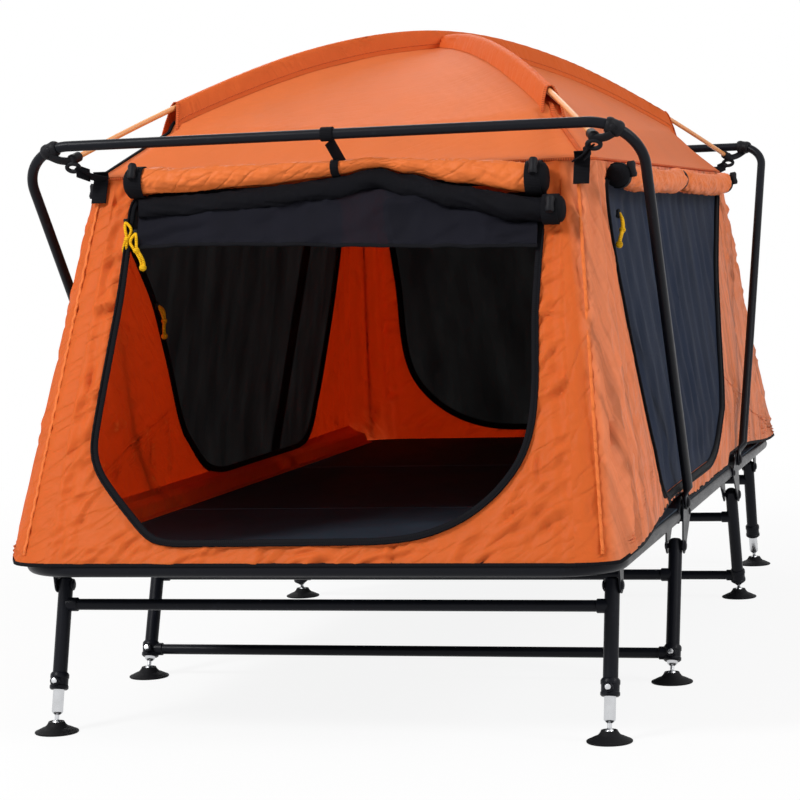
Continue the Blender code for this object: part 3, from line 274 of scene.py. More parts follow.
def coated_cloth(name, colour, crumple=1.0, roughness=0.50, through=0.42, pleated=False):
    """Coated polyester: plain weave, faint blotches, soft small crumples with painted shade, and light through
    it; pleated, a painted sheen and painted pleat shade.
    """
    cloth = Finish(name, colour, roughness, Sheen_Weight=0.02, Sheen_Roughness=0.35,
                   Specular_IOR_Level=0.13)
    place = cloth.place()
    across, up, _ = cloth.split(place)
    threads = 3900.0
    weave = (across * threads).wave() * (up * threads).wave()
    blotch = cloth.cloud(place, 4.0)
    long = cloth.streaks(place, (30.0, 11.0, 1.0), 3.0, 0.5)
    short = cloth.streaks(place, (46.0, 60.0, 1.0), 2.0, 0.5)
    turned = cloth.node("ShaderNodeVectorRotate", {"rotation_type": "Z_AXIS"},
                        {"Vector": place, "Angle": -0.6})
    slant = cloth.streaks(turned, (9.0, 34.0, 1.0), 2.0, 0.45)
    mottle = cloth.cloud(place, 900.0, 1.0)
    # Base colour: random blotches and fine mottle, plus the long streaks that also raise the crumples: painted
    # shade in their hollows, painted light on their crests.
    face = (blotch * 0.6 + long * 0.3 + mottle * 0.10).ramp(
        (0.30, shade(colour, 0.93)), (0.50, colour), (0.72, shade(colour, 1.05)))
    fold = (slant - 0.5).size().ramp((0.0, (0.0, 0.0, 0.0)), (0.07, (1.0, 1.0, 1.0)))
    height = weave * 0.005 + long * (0.8 * crumple) + short * (0.5 * crumple) + fold * (0.26 * crumple)
    # Pleated: past the corner strip, a paler tone as painted sheen, and streaks of painted shade and painted
    # highlight along the pleats.
    if pleated:
        past = (up * CORNER_SLOPE - CORNER_RUN + across.size() - CORNER_STRIP) * 50.0
        flat = 1.0 - past.share()
        pleat = cloth.streaks(place, (34.0, 1.6, 1.0), 3.0, 0.6)
        pale = tuple(mix(channel, 0.5, 0.13) for channel in colour)
        streaks = pleat.ramp((0.34, shade(pale, 0.62)), (0.50, pale), (0.66, shade(pale, 1.18)))
        face = cloth.blend(flat, face, streaks)
        through = through - flat * (through - 0.16)
        height = height + pleat * flat * 1.6
    cloth.set("Base Color", face)
    cloth.set("Roughness", blotch * 0.14 + (roughness - 0.05) + weave * 0.02)
    cloth.relief(height, 0.0060, 0.7)
    cloth.lit_through(through, shade(colour, 1.1))
    return cloth.material


def net_cloth(name, colour, cover, lines=0.10):
    """Fine insect mesh: dark threads with small holes between them."""
    net = Finish(name, colour, 0.7, Specular_IOR_Level=0.05)
    place = net.place()
    across, up, _ = net.split(place)
    pitch = 2600.0
    threads = ((across * pitch).wave().size() + (up * pitch).wave().size()) * 0.5
    cloud = net.streaks(place, (16.0, 5.0, 1.0))
    net.set("Base Color", net.blend(cloud, shade(colour, 0.55), shade(colour, 1.5)))
    net.set("Alpha", threads * lines + (cover - lines * 0.64) + (cloud - 0.5) * 0.10)
    net.set("Roughness", cloud * 0.3 + 0.55)
    net.relief(threads * 0.3 + cloud, 0.0012, 0.5)
    return net.material


def powder_coat(name, colour):
    """Black powder coat on steel tube: orange-peel grain, dull scuffs, paler rubbed spots."""
    coat = Finish(name, colour, 0.36, Coat_Weight=0.03, Coat_Roughness=0.20, Specular_IOR_Level=0.09)
    place = coat.place("Object")
    peel = coat.cloud(place, 900.0, 2.0)
    scuff = coat.streaks(place, (60.0, 18.0, 60.0), 5.0, 0.7)
    rubbed = (scuff - 0.62) * 6.0
    coat.set("Base Color", coat.blend(rubbed.share(), colour, shade(colour, 2.4)))
    coat.set("Roughness", scuff * 0.26 + 0.22)
    coat.relief(peel, 0.0004, 0.5)
    return coat.material


def bright_tube(name, colour):
    """Drawn aluminium: fine lines along the tube and a few dull marks."""
    tube = Finish(name, colour, 0.3, Metallic=1.0)
    place = tube.place("Object")
    lines = tube.streaks(place, (1400.0, 1400.0, 30.0), 2.0)
    marks = tube.cloud(place, 70.0, 4.0)
    tube.set("Base Color", tube.blend(marks, shade(colour, 0.72), colour))
    tube.set("Roughness", lines * 0.16 + marks * 0.22 + 0.10)
    tube.relief(lines, 0.0002, 0.4)
    return tube.material


def moulded_plastic(name, colour, roughness=0.48):
    """Moulded nylon with a fine spark-eroded grain."""
    nylon = Finish(name, colour, roughness, Specular_IOR_Level=0.11)
    place = nylon.place("Object")
    grain = nylon.cloud(place, 1500.0, 2.0)
    wear = nylon.cloud(place, 45.0, 4.0)
    nylon.set("Base Color", nylon.blend(wear, shade(colour, 0.75), shade(colour, 1.5)))
    nylon.set("Roughness", wear * 0.25 + (roughness - 0.12))
    nylon.relief(grain, 0.0003, 0.6)
    return nylon.material


def woven_tape(name, colour, pitch=0.0022, roughness=0.75):
    """Ribbed webbing or zip tape: cross ribs, with painted shade in their grooves and painted light on their
    crests, and a random cloud of tone.
    """
    tape = Finish(name, colour, roughness, Specular_IOR_Level=0.06)
    across, along, _ = tape.split(tape.place())
    ribs = (along * (2 * pi / pitch)).wave()
    cloud = tape.cloud(tape.place("Object"), 120.0)
    # Colour: the rib term is painted shade and painted light on the ribs; the cloud is random tone.
    tape.set("Base Color", tape.blend(ribs * 0.25 + cloud * 0.5, shade(colour, 0.6), shade(colour, 1.8)))
    tape.set("Roughness", cloud * 0.2 + (roughness - 0.1))
    tape.relief(ribs * 0.4 + cloud * 0.3, 0.0006, 0.7)
    return tape.material


def deck_weave(name, colour):
    """Heavy black oxford cloth of the bed, with a coarse basket weave and large random patches, darker and
    paler.
    """
    cloth = Finish(name, colour, 0.8, Specular_IOR_Level=0.08)
    place = cloth.place()
    across, up, _ = cloth.split(place)
    basket = (across * 1400.0).wave() * (up * 1400.0).wave()
    mottle = cloth.cloud(place, 7.0, 5.0, 0.62)
    crease = cloth.streaks(place, (5.0, 16.0, 1.0))
    cloth.set("Base Color", cloth.blend(mottle, shade(colour, 0.6), shade(colour, 2.0)))
    cloth.set("Roughness", mottle * 0.2 + 0.68)
    cloth.relief(basket * 0.06 + crease, 0.004, 0.6)
    return cloth.material


def glass_fibre(name, colour):
    """Wrapped glass-fibre pole: long streaks of tan and orange under a clear coat."""
    pole = Finish(name, colour, 0.35, Coat_Weight=0.4, Coat_Roughness=0.2)
    place = pole.place()
    streak = pole.streaks(place, (700.0, 9.0, 1.0))
    pole.set("Base Color", pole.blend(streak, shade(colour, 0.7), shade(colour, 1.25)))
    pole.set("Roughness", streak * 0.2 + 0.25)
    pole.relief(streak, 0.0002, 0.5)
    return pole.material


ORANGE = (0.830, 0.196, 0.040)
FINISHES = {
    "tent_orange": coated_cloth("tent_orange", ORANGE),
    # Side walls: the same cloth, with painted sheen and painted pleat shade past the corners.
    "side_orange_painted_light": coated_cloth("side_orange_painted_light", ORANGE, pleated=True),
    "roof_orange": coated_cloth("roof_orange", (0.800, 0.205, 0.058), 0.25, 0.58, 0.25),
    # Sleeves: the same cloth made darker, painted shade on their steep faces.
    "sleeve_orange_painted_shade": coated_cloth("sleeve_orange_painted_shade", (0.720, 0.135, 0.026), 0.6, 0.58, 0.12),
    "rolled_orange": coated_cloth("rolled_orange", (0.800, 0.185, 0.042), 1.5, through=0.05),
    "window_net": net_cloth("window_net", (0.010, 0.012, 0.016), 0.935),
    "door_net": net_cloth("door_net", (0.016, 0.022, 0.040), 0.975, 0.04),
    "hanging_net": net_cloth("hanging_net", (0.0110, 0.0110, 0.0165), 0.86),
    "rolled_net": net_cloth("rolled_net", (0.0055, 0.0055, 0.0075), 0.96, 0.05),
    "black_tube": powder_coat("black_tube", (0.0070, 0.0076, 0.0110)),
    "aluminium": bright_tube("aluminium", (0.72, 0.73, 0.75)),
    "black_nylon": moulded_plastic("black_nylon", (0.008, 0.008, 0.010)),
    "foot_rubber": moulded_plastic("foot_rubber", (0.006, 0.006, 0.007), 0.62),
    "black_tape": woven_tape("black_tape", (0.007, 0.007, 0.009)),
    "zip_tape": woven_tape("zip_tape", (0.006, 0.006, 0.008), 0.0030, 0.65),
    "seam_orange": woven_tape("seam_orange", (0.60, 0.115, 0.034), 0.0035, 0.65),
    "yellow_cord": woven_tape("yellow_cord", (0.88, 0.48, 0.012), 0.0025, 0.6),
    "bed_black": deck_weave("bed_black", (0.0170, 0.0270, 0.0390)),
    "tan_fibre": glass_fibre("tan_fibre", (0.78, 0.32, 0.10)),
}


# Shapes

def unit(vectors):
    vectors = np.asarray(vectors, float)
    return vectors / np.maximum(np.linalg.norm(vectors, axis=-1, keepdims=True), 1e-12)


def circle(radius, sides):
    turn = np.arange(sides) * (2 * pi / sides)
    return np.stack([np.cos(turn) * radius, np.sin(turn) * radius], axis=1)


def strap_section(width, thickness):
    """A flat strap's section with rounded edges."""
    half, edge = width / 2, thickness / 2
    inner = half - edge
    return np.array([(-inner, -edge), (inner, -edge), (half - edge * 0.3, -edge * 0.7), (half, 0),
                     (half - edge * 0.3, edge * 0.7), (inner, edge), (-inner, edge),
                     (-half + edge * 0.3, edge * 0.7), (-half, 0), (-half + edge * 0.3, -edge * 0.7)])


def bend(corners, radius, steps=10):
    """A path of straight runs with rounded corners."""
    corners = [Vector(corner) for corner in corners]
    path = [corners[0]]
    for before, corner, after in zip(corners, corners[1:], corners[2:]):
        back, ahead = (before - corner).normalized(), (after - corner).normalized()
        half = back.angle(ahead) / 2
        centre = corner + (back + ahead).normalized() * (radius / sin(half))
        reach = radius * cos(half) / sin(half)
        start, end = corner + back * reach - centre, corner + ahead * reach - centre
        whole = start.angle(end)
        for i in range(steps + 1):
            share = i / steps
            path.append(centre + (start * sin((1 - share) * whole) + end * sin(share * whole)) / sin(whole))
    path.append(corners[-1])
    return np.array(path)


def curve_through(points, per_span=8):
    """A smooth path through a few points."""
    points = np.asarray(points, float)
    padded = np.vstack([2 * points[0] - points[1], points, 2 * points[-1] - points[-2]])
    path = []
    for a, b, c, d in zip(padded, padded[1:], padded[2:], padded[3:]):
        for i in range(per_span):
            t = i / per_span
            path.append(0.5 * (2 * b + (c - a) * t + (2 * a - 5 * b + 4 * c - d) * t ** 2
                               + (3 * b - a - 3 * c + d) * t ** 3))
    path.append(points[-1])
    return np.array(path)


class Shape:
    """Points, faces and cloth coordinates of one piece while it is made."""

    def __init__(self):
        self.points, self.faces, self.uvs = [], [], []

    def grid(self, rows, uvs=None, around=False, flip=False):
        """Join rows of points into a sheet; around closes each row on itself."""
        rows = np.asarray(rows, float)
        count, width = rows.shape[:2]
        first = len(self.points)
        self.points += [tuple(p) for p in rows.reshape(-1, 3)]
        if uvs is None:
            uvs = np.zeros((count, width, 2))
        self.uvs += [tuple(p) for p in np.asarray(uvs, float).reshape(-1, 2)]
        for k in range(count - 1):
            for i in range(width if around else width - 1):
                j = (i + 1) % width
                face = (first + k * width + i, first + k * width + j,
                        first + (k + 1) * width + j, first + (k + 1) * width + i)
                self.faces.append(face[::-1] if flip else face)
        return first

    def carry(self, path, section, up, closed=False, capped=True):
        """Carry a section of (across, up) offsets, one or one per station, along a path."""
        path = np.asarray(path, float)
        count = len(path)
        if closed:
            ahead = np.roll(path, -1, axis=0) - np.roll(path, 1, axis=0)
        else:
            ahead = np.gradient(path, axis=0)
        ahead = unit(ahead)
        up = np.broadcast_to(np.asarray(up, float), path.shape)
        across = unit(np.cross(ahead, up))
        rise = np.cross(across, ahead)
        section = np.asarray(section, float)
        if section.ndim == 2:
            section = np.broadcast_to(section, (count, *section.shape))
        rows = path[:, None] + across[:, None] * section[..., :1] + rise[:, None] * section[..., 1:]
        along = np.concatenate([[0.0], np.cumsum(np.linalg.norm(np.diff(path, axis=0), axis=1))])
        girth = np.linalg.norm(np.roll(section, -1, axis=1) - section, axis=2).cumsum(axis=1)
        uvs = np.stack([girth, np.broadcast_to(along[:, None], girth.shape)], axis=2)
        if closed:
            rows = np.concatenate([rows, rows[:1]])
            uvs = np.concatenate([uvs, uvs[-1:] + 0.005])
        first = self.grid(rows, uvs, around=True)
        width = section.shape[1]
        if capped and not closed:
            self.faces.append(tuple(first + i for i in range(width))[::-1])
            last = first + (len(rows) - 1) * width
            self.faces.append(tuple(last + i for i in range(width)))
        return self

    def tube(self, path, radius, sides=20, up=(0, 0, 1), closed=False):
        radius = np.broadcast_to(np.asarray(radius, float), (len(path),))
        section = circle(1.0, sides)[None] * radius[:, None, None]
        return self.carry(path, section, up, closed)

    def turn(self, profile, centre, axis, sides=40):
        """Turn a profile of (radius, height) round an axis through a centre."""
        centre, axis = Vector(centre), Vector(axis).normalized()
        spin = axis.to_track_quat("Z", "Y").to_matrix()
        rows, uvs, along = [], [], 0.0
        for i, (radius, height) in enumerate(profile):
            if i:
                along += hypot(radius - profile[i - 1][0], height - profile[i - 1][1])
            ring = circle(max(radius, 1e-6), sides)
            rows.append([centre + spin @ Vector((x, y, height)) for x, y in ring])
            uvs.append([(radius * 2 * pi * k / sides, along) for k in range(sides)])
        self.grid(np.array([[tuple(p) for p in row] for row in rows]), uvs, around=True)
        return self

    def plate(self, outline, low, high, place, edge=0.0006):
        """A plate from an outline, with eased edges; place maps (a, b, depth) to the frame."""
        outline = np.asarray(outline, float)
        inward = outline.mean(axis=0) - outline
        inward = unit(inward) * edge
        rings = [(outline + inward, low), (outline, low + edge), (outline, high - edge),
                 (outline + inward, high)]
        rows = [[place(a, b, depth) for a, b in ring] for ring, depth in rings]
        first = self.grid(rows, [[(a, b) for a, b in ring] for ring, _ in rings], around=True)
        count = len(outline)
        self.faces.append(tuple(first + i for i in range(count))[::-1])
        self.faces.append(tuple(first + 3 * count + i for i in range(count)))
        return self

    def triangles(self):
        return np.array([(face[0], face[i], face[i + 1]) for face in self.faces
                         for i in range(1, len(face) - 1)])

    def area(self):
        a, b, c = np.array(self.points)[self.triangles().T]
        return float(0.5 * np.linalg.norm(np.cross(b - a, c - a), axis=1).sum())

    def thicken(self, depth):
        """Give a sheet its thickness, on the side away from its normals."""
        points = np.array(self.points)
        normals = np.zeros_like(points)
        corners = self.triangles().T
        a, b, c = points[corners]
        across = np.cross(b - a, c - a)
        for corner in corners:
            np.add.at(normals, corner, across)
        back = points - unit(normals) * depth
        count, faces = len(points), list(self.faces)
        edges = {edge for face in faces for edge in zip(face, face[1:] + face[:1])}
        self.points += [tuple(p) for p in back]
        self.uvs += list(self.uvs)
        self.faces += [tuple(count + i for i in face[::-1]) for face in faces]
        self.faces += [(b, a, count + a, count + b) for a, b in sorted(edges) if (b, a) not in edges]
        return self


def make(name, shape, finish, body, replaces=(), crease=40.0, outward=False):
    """Make a piece from a shape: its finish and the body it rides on."""
    mesh = bpy.data.meshes.new(name)
    mesh.from_pydata(shape.points, [], shape.faces)
    mesh.update()
    layer = mesh.uv_layers.new(name="cloth")
    corners = np.zeros(len(mesh.loops), int)
    mesh.loops.foreach_get("vertex_index", corners)
    layer.data.foreach_set("uv", np.array(shape.uvs)[corners].ravel())
    if outward:
        turn_outward(mesh)
    mesh.shade_smooth()
    mesh.set_sharp_from_angle(angle=radians(crease))
    mesh.materials.append(FINISHES[finish])
    piece = bpy.data.objects.new(name, mesh)
    bpy.context.collection.objects.link(piece)
    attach(piece, body)
    if replaces:
        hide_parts(*replaces)
    return piece


def turn_outward(mesh):
    work = bmesh.new()
    work.from_mesh(mesh)
    bmesh.ops.recalc_face_normals(work, faces=work.faces)
    work.to_mesh(mesh)
    work.free()


def make_tent(name, shape, finish, replaces=(), crease=60.0, outward=False):
    """A piece of the tent: it stands on the bed."""
    piece = make(name, shape, finish, "base", replaces, crease, outward)
    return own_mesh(piece)


# Tent surfaces

def wall_share(z):
    return (z - HEM_Z) / (EAVE_Z - HEM_Z)


def wall_height(share):
    return mix(HEM_Z, EAVE_Z, share)


def half_width(z):
    return mix(HEM_HALF_W, EAVE_HALF_W, wall_share(z))


def half_length(z):
    return mix(HEM_HALF_L, EAVE_HALF_L, wall_share(z))


def corner_radius(z):
    return mix(HEM_CORNER_R, EAVE_CORNER_R, wall_share(z))


def side_hem(y):
    """Height of a side wall's lower edge, up over the rails and the hinge brackets."""
    y = np.abs(y)
    rail = HEM_Z + 0.0165 * (1 - smooth(SIDE_RUN, HEM_HALF_L, y))
    bracket = mix(0.292, rail, smooth(TUCK_FLAT_Y, TUCK_END_Y, y))
    return mix(DECK_TOP + 0.0012, bracket, smooth(0.255, 0.285, y))


def tuck(hem_y, z):
    along = np.clip((np.abs(hem_y) - TUCK_FLAT_Y) / (TUCK_END_Y - TUCK_FLAT_Y), 0, 1)
    return TUCK_IN * (1 - along) * (1 - np.clip((z - HEM_Z) / TUCK_H, 0, 1))


FRONT_LEAN = hypot(HEM_HALF_L - EAVE_HALF_L, EAVE_Z - HEM_Z)
FRONT_OUT = np.array([0, -(EAVE_Z - HEM_Z), HEM_HALF_L - EAVE_HALF_L]) / FRONT_LEAN
SIDE_LEAN = hypot(HEM_HALF_W - EAVE_HALF_W, EAVE_Z - HEM_Z)
SIDE_OUT = np.array([EAVE_Z - HEM_Z, 0, HEM_HALF_W - EAVE_HALF_W]) / SIDE_LEAN


class Wall:
    """One wall: places along it and heights become points, with the way out of the tent."""

    def __init__(self, kind, turn=(1, 1)):
        self.kind, self.turn = kind, np.array([*turn, 1.0])
        self.flip = turn[0] * turn[1] < 0

    def at(self, along, z, out=0.0):
        along, z, out = np.broadcast_arrays(np.asarray(along, float), np.asarray(z, float),
                                            np.asarray(out, float))
        if self.kind == "end":
            point = np.stack([along, -half_length(z), z], axis=-1)
            normal = np.broadcast_to(FRONT_OUT, point.shape)
        else:
            radius = corner_radius(z)
            run = half_length(z) - radius
            over = np.clip((np.abs(along) - run) / radius, 0, pi / 2)
            side = np.sign(along)
            y = np.clip(along, -run, run)
            x = half_width(z) - radius * (1 - np.cos(over)) - tuck(y / run * SIDE_RUN, z)
            point = np.stack([x, y + side * radius * np.sin(over), z], axis=-1)
            flat = np.stack([np.cos(over), side * np.sin(over), np.zeros_like(x)], axis=-1)
            normal = unit(flat * SIDE_OUT[0] + np.array([0, 0, SIDE_OUT[2]]))
        return (point + normal * out[..., None]) * self.turn

    def way_out(self, along, z):
        return unit(self.at(along, z, 0.01) - self.at(along, z, 0.0))


FRONT, REAR = Wall("end"), Wall("end", (1, -1))
RIGHT, LEFT = Wall("side"), Wall("side", (-1, -1))


def softened(points, limit):
    """Round the corners of an outline, by at most a limit along each edge."""
    points = [np.array(p, float) for p in points]
    result = []
    for before, point, after in zip(points[-1:] + points[:-1], points, points[1:] + points[:1]):
        cuts = []
        for other in (before, after):
            edge = other - point
            length = np.linalg.norm(edge)
            cuts.append(point + edge / length * min(limit, 0.47 * length))
        for i in range(7):
            t = i / 6
            result.append(cuts[0] * (1 - t) ** 2 + point * 2 * t * (1 - t) + cuts[1] * t ** 2)
    return np.array(result)


def evenly(outline, step):
    """Points at even distances round a closed outline."""
    closed = np.vstack([outline, outline[:1]])
    along = np.concatenate([[0.0], np.cumsum(np.linalg.norm(np.diff(closed, axis=0), axis=1))])
    count = ceil(along[-1] / step)
    places = np.linspace(0, along[-1], count, endpoint=False)
    return np.stack([np.interp(places, along, closed[:, i]) for i in (0, 1)], axis=1)


def round_length(outline):
    return float(np.linalg.norm(np.roll(outline, -1, axis=0) - outline, axis=1).sum())


def end_opening(left_side=None):
    """A D-shaped opening: the right side mirrored, or with a left side of its own."""
    left_side = left_side or [(-share, high) for share, high in reversed(DOORWAY)]
    points = [(share * EAVE_HALF_W, wall_height(high)) for share, high in (*DOORWAY, *left_side)]
    return softened(points, 0.026)[::-1]


def side_opening():
    return softened([(share * EAVE_HALF_L, wall_height(high)) for share, high in SIDE_DOORWAY], 0.045)


def counter_clockwise(outline):
    x, z = outline[:, 0], outline[:, 1]
    turned = np.sum(x * np.roll(z, -1) - np.roll(x, -1) * z)
    return outline if turned > 0 else outline[::-1]


END_OPENING = counter_clockwise(end_opening())
DOOR_OPENING = counter_clockwise(end_opening(DOORWAY_LEFT))
SIDE_OPENING = counter_clockwise(side_opening())


def wall_border(edge, hem, step):
    """Border of a wall: along its hem, up its right edge, back under the eave and down its left."""
    across = np.linspace(-1, 1, ceil(2 * edge(HEM_Z) / step) + 1)
    up = np.linspace(HEM_Z + HEM_LIFT, EAVE_Z, ceil((EAVE_Z - HEM_Z) / step) + 1)
    low = [(share * edge(HEM_Z), hem(share * edge(HEM_Z))) for share in across]
    right = [(edge(z), z) for z in up[1:]]
    top = [(share * edge(EAVE_Z), EAVE_Z) for share in across[::-1][1:]]
    left = [(-edge(z), z) for z in up[::-1][1:-1]]
    return np.array(low + right + top + left)


def end_edge(z):
    """Half the width of an end wall between its corner seams."""
    return half_width(z) - corner_radius(z)


def end_border(step=0.0045):
    return wall_border(end_edge, lambda along: HEM_Z + HEM_LIFT, step)


def side_border(step=0.0065):
    """Border of a side wall, as places along it and heights; it goes round the tent's corners."""
    def edge(z):
        return half_length(z) - corner_radius(z) + corner_radius(z) * pi / 2

    def hem(along):
        turn = min(max(abs(along) - SIDE_RUN, 0) / HEM_CORNER_R, pi / 2)
        hem_y = min(abs(along), SIDE_RUN + HEM_CORNER_R * sin(turn))
        return max(float(side_hem(hem_y)), HEM_Z + HEM_LIFT)
    return wall_border(edge, hem, step)


def ray_hit(outline, centre, place):
    """Where the line from a centre to a place crosses an outline."""
    way = place - centre
    a, b = outline - centre, np.roll(outline, -1, axis=0) - centre
    edge = b - a
    cross = way[0] * edge[:, 1] - way[1] * edge[:, 0]
    cross = np.where(np.abs(cross) < 1e-12, 1e-12, cross)
    t = (a[:, 0] * edge[:, 1] - a[:, 1] * edge[:, 0]) / cross
    s = (a[:, 0] * way[1] - a[:, 1] * way[0]) / cross
    hits = t[(s >= -1e-9) & (s <= 1 + 1e-9) & (t > 0)]
    return centre + way * (hits.min() if len(hits) else 1.0)


def ring_places(opening, border, rows, centre):
    """Rows of places from an opening's edge out to a wall's border."""
    centre = np.array(centre)
    inner = np.array([ray_hit(opening, centre, place) for place in border])
    return np.array([mix(inner, border, k / rows) for k in range(rows + 1)])


def crumple(along, up, seed, fine=1.0):
    """Soft folds of held cloth, about -1 to 1."""
    long = ripple(along * 8 + up * 2, up * 3.2 - along * 1.5, seed)
    short = ripple(along * 20 + up * 8, up * 12 - along * 6, seed + 3)
    tiny = ripple(along * 48 + up * 20, up * 36, seed + 9)
    return 0.9 * long + 0.8 * short + fine * 0.35 * tiny


def creases(places, seed, count, lean, depth=0.0056):
    """Short sharp creases scattered over cloth: each a valley with a ridge beside it."""
    chance = np.random.default_rng(seed)
    flat = places.reshape(-1, 2)
    low, high = flat.min(axis=0), flat.max(axis=0)
    height = np.zeros(len(flat))
    for _ in range(count):
        centre = low + (high - low) * chance.random(2)
        angle = lean + chance.normal(0, 0.35)
        long, wide = chance.uniform(0.012, 0.036), chance.uniform(0.0032, 0.0065)
        deep = depth * chance.uniform(0.45, 1.0)
        offset = flat - centre
        near = np.flatnonzero(np.abs(offset).max(axis=1) < 3 * long)
        along = offset[near] @ (cos(angle), sin(angle))
        across = offset[near] @ (-sin(angle), cos(angle)) + 6 * along ** 2
        fade = np.exp(-(along / long) ** 2)
        height[near] += deep * fade * (0.7 * np.exp(-((across - 1.6 * wide) / (1.5 * wide)) ** 2)
                                       - np.exp(-(across / wide) ** 2))
    return height.reshape(places.shape[:-1])


def wall_cloth(name, wall, opening, border, rows, centre, depth, seed, waves, crease_count, lean,
               finish="tent_orange"):
    """A wall as one sheet round its opening, with folds that fade at its seams and its zip."""
    places = ring_places(opening, border, rows, centre)
    heights = creases(places, int(seed * 10), crease_count, lean)
    for k in range(places.shape[0]):
        hold = ease(0, 0.20, k / rows) * ease(0, 0.13, 1 - k / rows)
        if not hold:
            heights[k] = 0.0
            continue
        for i in range(places.shape[1]):
            along, z = places[k, i]
            heights[k, i] = hold * (heights[k, i] + depth * crumple(along, z, seed) + waves(along, z))
    rows_3d = wall.at(places[..., 0], places[..., 1], heights - 0.0003)
    shape = Shape()
    shape.grid(rows_3d, places, around=True, flip=not wall.flip)
    flat = shape.area()
    shape.thicken(CLOTH_T)
    piece = make_tent(name + "_cloth", shape, finish, [name])
    long = float(np.ptp(border[:, 0])) + 2 * SEAM
    cut = flat + SEAM * (round_length(border) + round_length(opening))


def end_waves(along, z):
    """Slack, pleats beside the seams and drag lines from the top corners of an end wall."""
    share, half = wall_share(z), end_edge(z)
    edge = half - abs(along)
    wave = sin(pi * share) * (1 - (along / half) ** 4) * sin(2 * pi * (along / 0.170 + share))
    pleat = sin(260 * edge + 5 * ripple(z * 5, along, 3)) * ease(0.05, 0.015, edge)
    drag = sin(95 * (edge + 0.20 * (share - 1))) * ease(0.10, 0.03, edge) * share ** 2
    return 0.0020 * wave + 0.0014 * pleat + 0.0022 * drag


def side_waves(along, z):
    """Long pleats at a side wall's ends, and a slow wave along it."""
    share = float(np.clip(wall_share(z), 0, 1))
    edge = half_length(z) - abs(along)
    lines = sin(135 * edge * (1 + 0.55 * share) + 3 * ripple(along * 3, z * 2, 8))
    pleat = lines * ease(0.34, 0.10, edge) * (0.6 + 0.4 * ripple(along * 12, z * 2, 5))
    return 0.0060 * pleat + 0.0016 * sin(2 * pi * (along / 0.23 + 0.4 * share)) * sin(pi * share)


def disc_places(opening, rows, step, lap, hub=0.004):
    """Rows of places from the middle of a panel out past an opening's edge."""
    rim = evenly(opening, step)
    centre = rim.mean(axis=0)
    away = unit(rim - centre)
    rim = rim + away * lap
    reaches = [hub] + [(k / rows) ** 0.85 for k in range(1, rows + 1)]
    return np.array([centre + (rim - centre) * reach for reach in reaches])


def net_panel(name, wall, opening, finish, node, fold, rows=34, step=0.010, depth=0.0036):
    """A net layer just inside a wall, held at its rim, with folds that the function gives."""
    places = disc_places(opening, rows, step, 0.006)
    back = np.zeros(places.shape[:2])
    for k in range(places.shape[0]):
        hold = ease(0, 0.22, 1 - k / rows)
        for i in range(places.shape[1]):
            along, z = places[k, i]
            back[k, i] = -(depth + hold * fold(along, z))
    rows_3d = wall.at(places[..., 0], places[..., 1], back)
    shape = Shape()
    first = shape.grid(rows_3d, places, around=True, flip=not wall.flip)
    count = places.shape[1]
    hub = tuple(first + i for i in range(count))
    shape.faces.append(hub[::-1] if not wall.flip else hub)
    flat = shape.area()
    shape.thicken(0.0008)
    piece = make_tent(name, shape, finish, [node])
    long, high = np.ptp(opening, axis=0).tolist()


def outline_on(wall, opening, out, step=0.006, grow=0.0):
    """The edge of an opening as points on a wall, with the way out at each."""
    rim = evenly(opening, step)
    if grow:
        rim = rim + unit(rim - rim.mean(axis=0)) * grow
    return wall.at(rim[:, 0], rim[:, 1], out), wall.way_out(rim[:, 0], rim[:, 1])


def opening_binding(name, wall, opening, depth, width=0.014):
    """Black binding and zip round an opening: a folded tape with the coil along its middle."""
    shape = Shape()
    path, up = outline_on(wall, opening, 0.0022 - depth / 2)
    shape.carry(path, strap_section(width, depth), up, closed=True)
    path, up = outline_on(wall, opening, 0.0026, grow=0.004)
    beads = np.array([0.0017 + 0.0003 * (i % 2) for i in range(len(path))])
    shape.tube(path, beads, 8, up, closed=True)
    return make_tent(name, shape, "zip_tape")


# Roof

def pole_height(reach, apex):
    """Height of a pole's middle at a distance from the apex, measured along the ground."""
    bend_share = 0.5
    curve = (np.sqrt((reach / CLAMP_REACH) ** 2 + bend_share ** 2) - bend_share) / (
        sqrt(1 + bend_share ** 2) - bend_share)
    droop = POLE_DROOP * np.clip((reach - 0.35) / (POLE_END - 0.35), 0, 1.2) ** 1.6
    return HOOP_TOP_Z + (apex - HOOP_TOP_Z) * (1 - curve) - droop


def pole_apex(slope):
    return POLE_APEX if slope > 0 else POLE_APEX - POLE_CROSS


def plan_scale(x, y):
    """How far out a plan point lies, as a share of the eave outline through it."""
    x, y = abs(x), abs(y)
    share = max(x / EAVE_HALF_W, y / EAVE_HALF_L)
    if share == 0:
        return 0.0
    core = Vector((EAVE_HALF_W - EAVE_CORNER_R, EAVE_HALF_L - EAVE_CORNER_R))
    if x / share <= core.x or y / share <= core.y:
        return share
    ray = Vector((x, y))
    a, b, c = ray.dot(ray), ray.dot(core), core.dot(core) - EAVE_CORNER_R ** 2
    return a / (b + sqrt(b * b - a * c))


CORNER_REACH = 1.0 / plan_scale(*POLE_DIR)
HANG_AT_APEX, HANG_AT_CORNER = 0.008, 0.019
CUT_STEP, CUT_SLOPE = 0.38, 0.62


def ridge_height(reach):
    """The roof's ridge hangs below its pole, further down towards the corners."""
    hang = mix(HANG_AT_APEX, HANG_AT_CORNER, min(reach / SLEEVE_END, 1.0))
    return float(pole_height(reach, pole_apex(-1))) - hang


AT_CORNER = ridge_height(CORNER_REACH) - (EAVE_Z + 0.003)


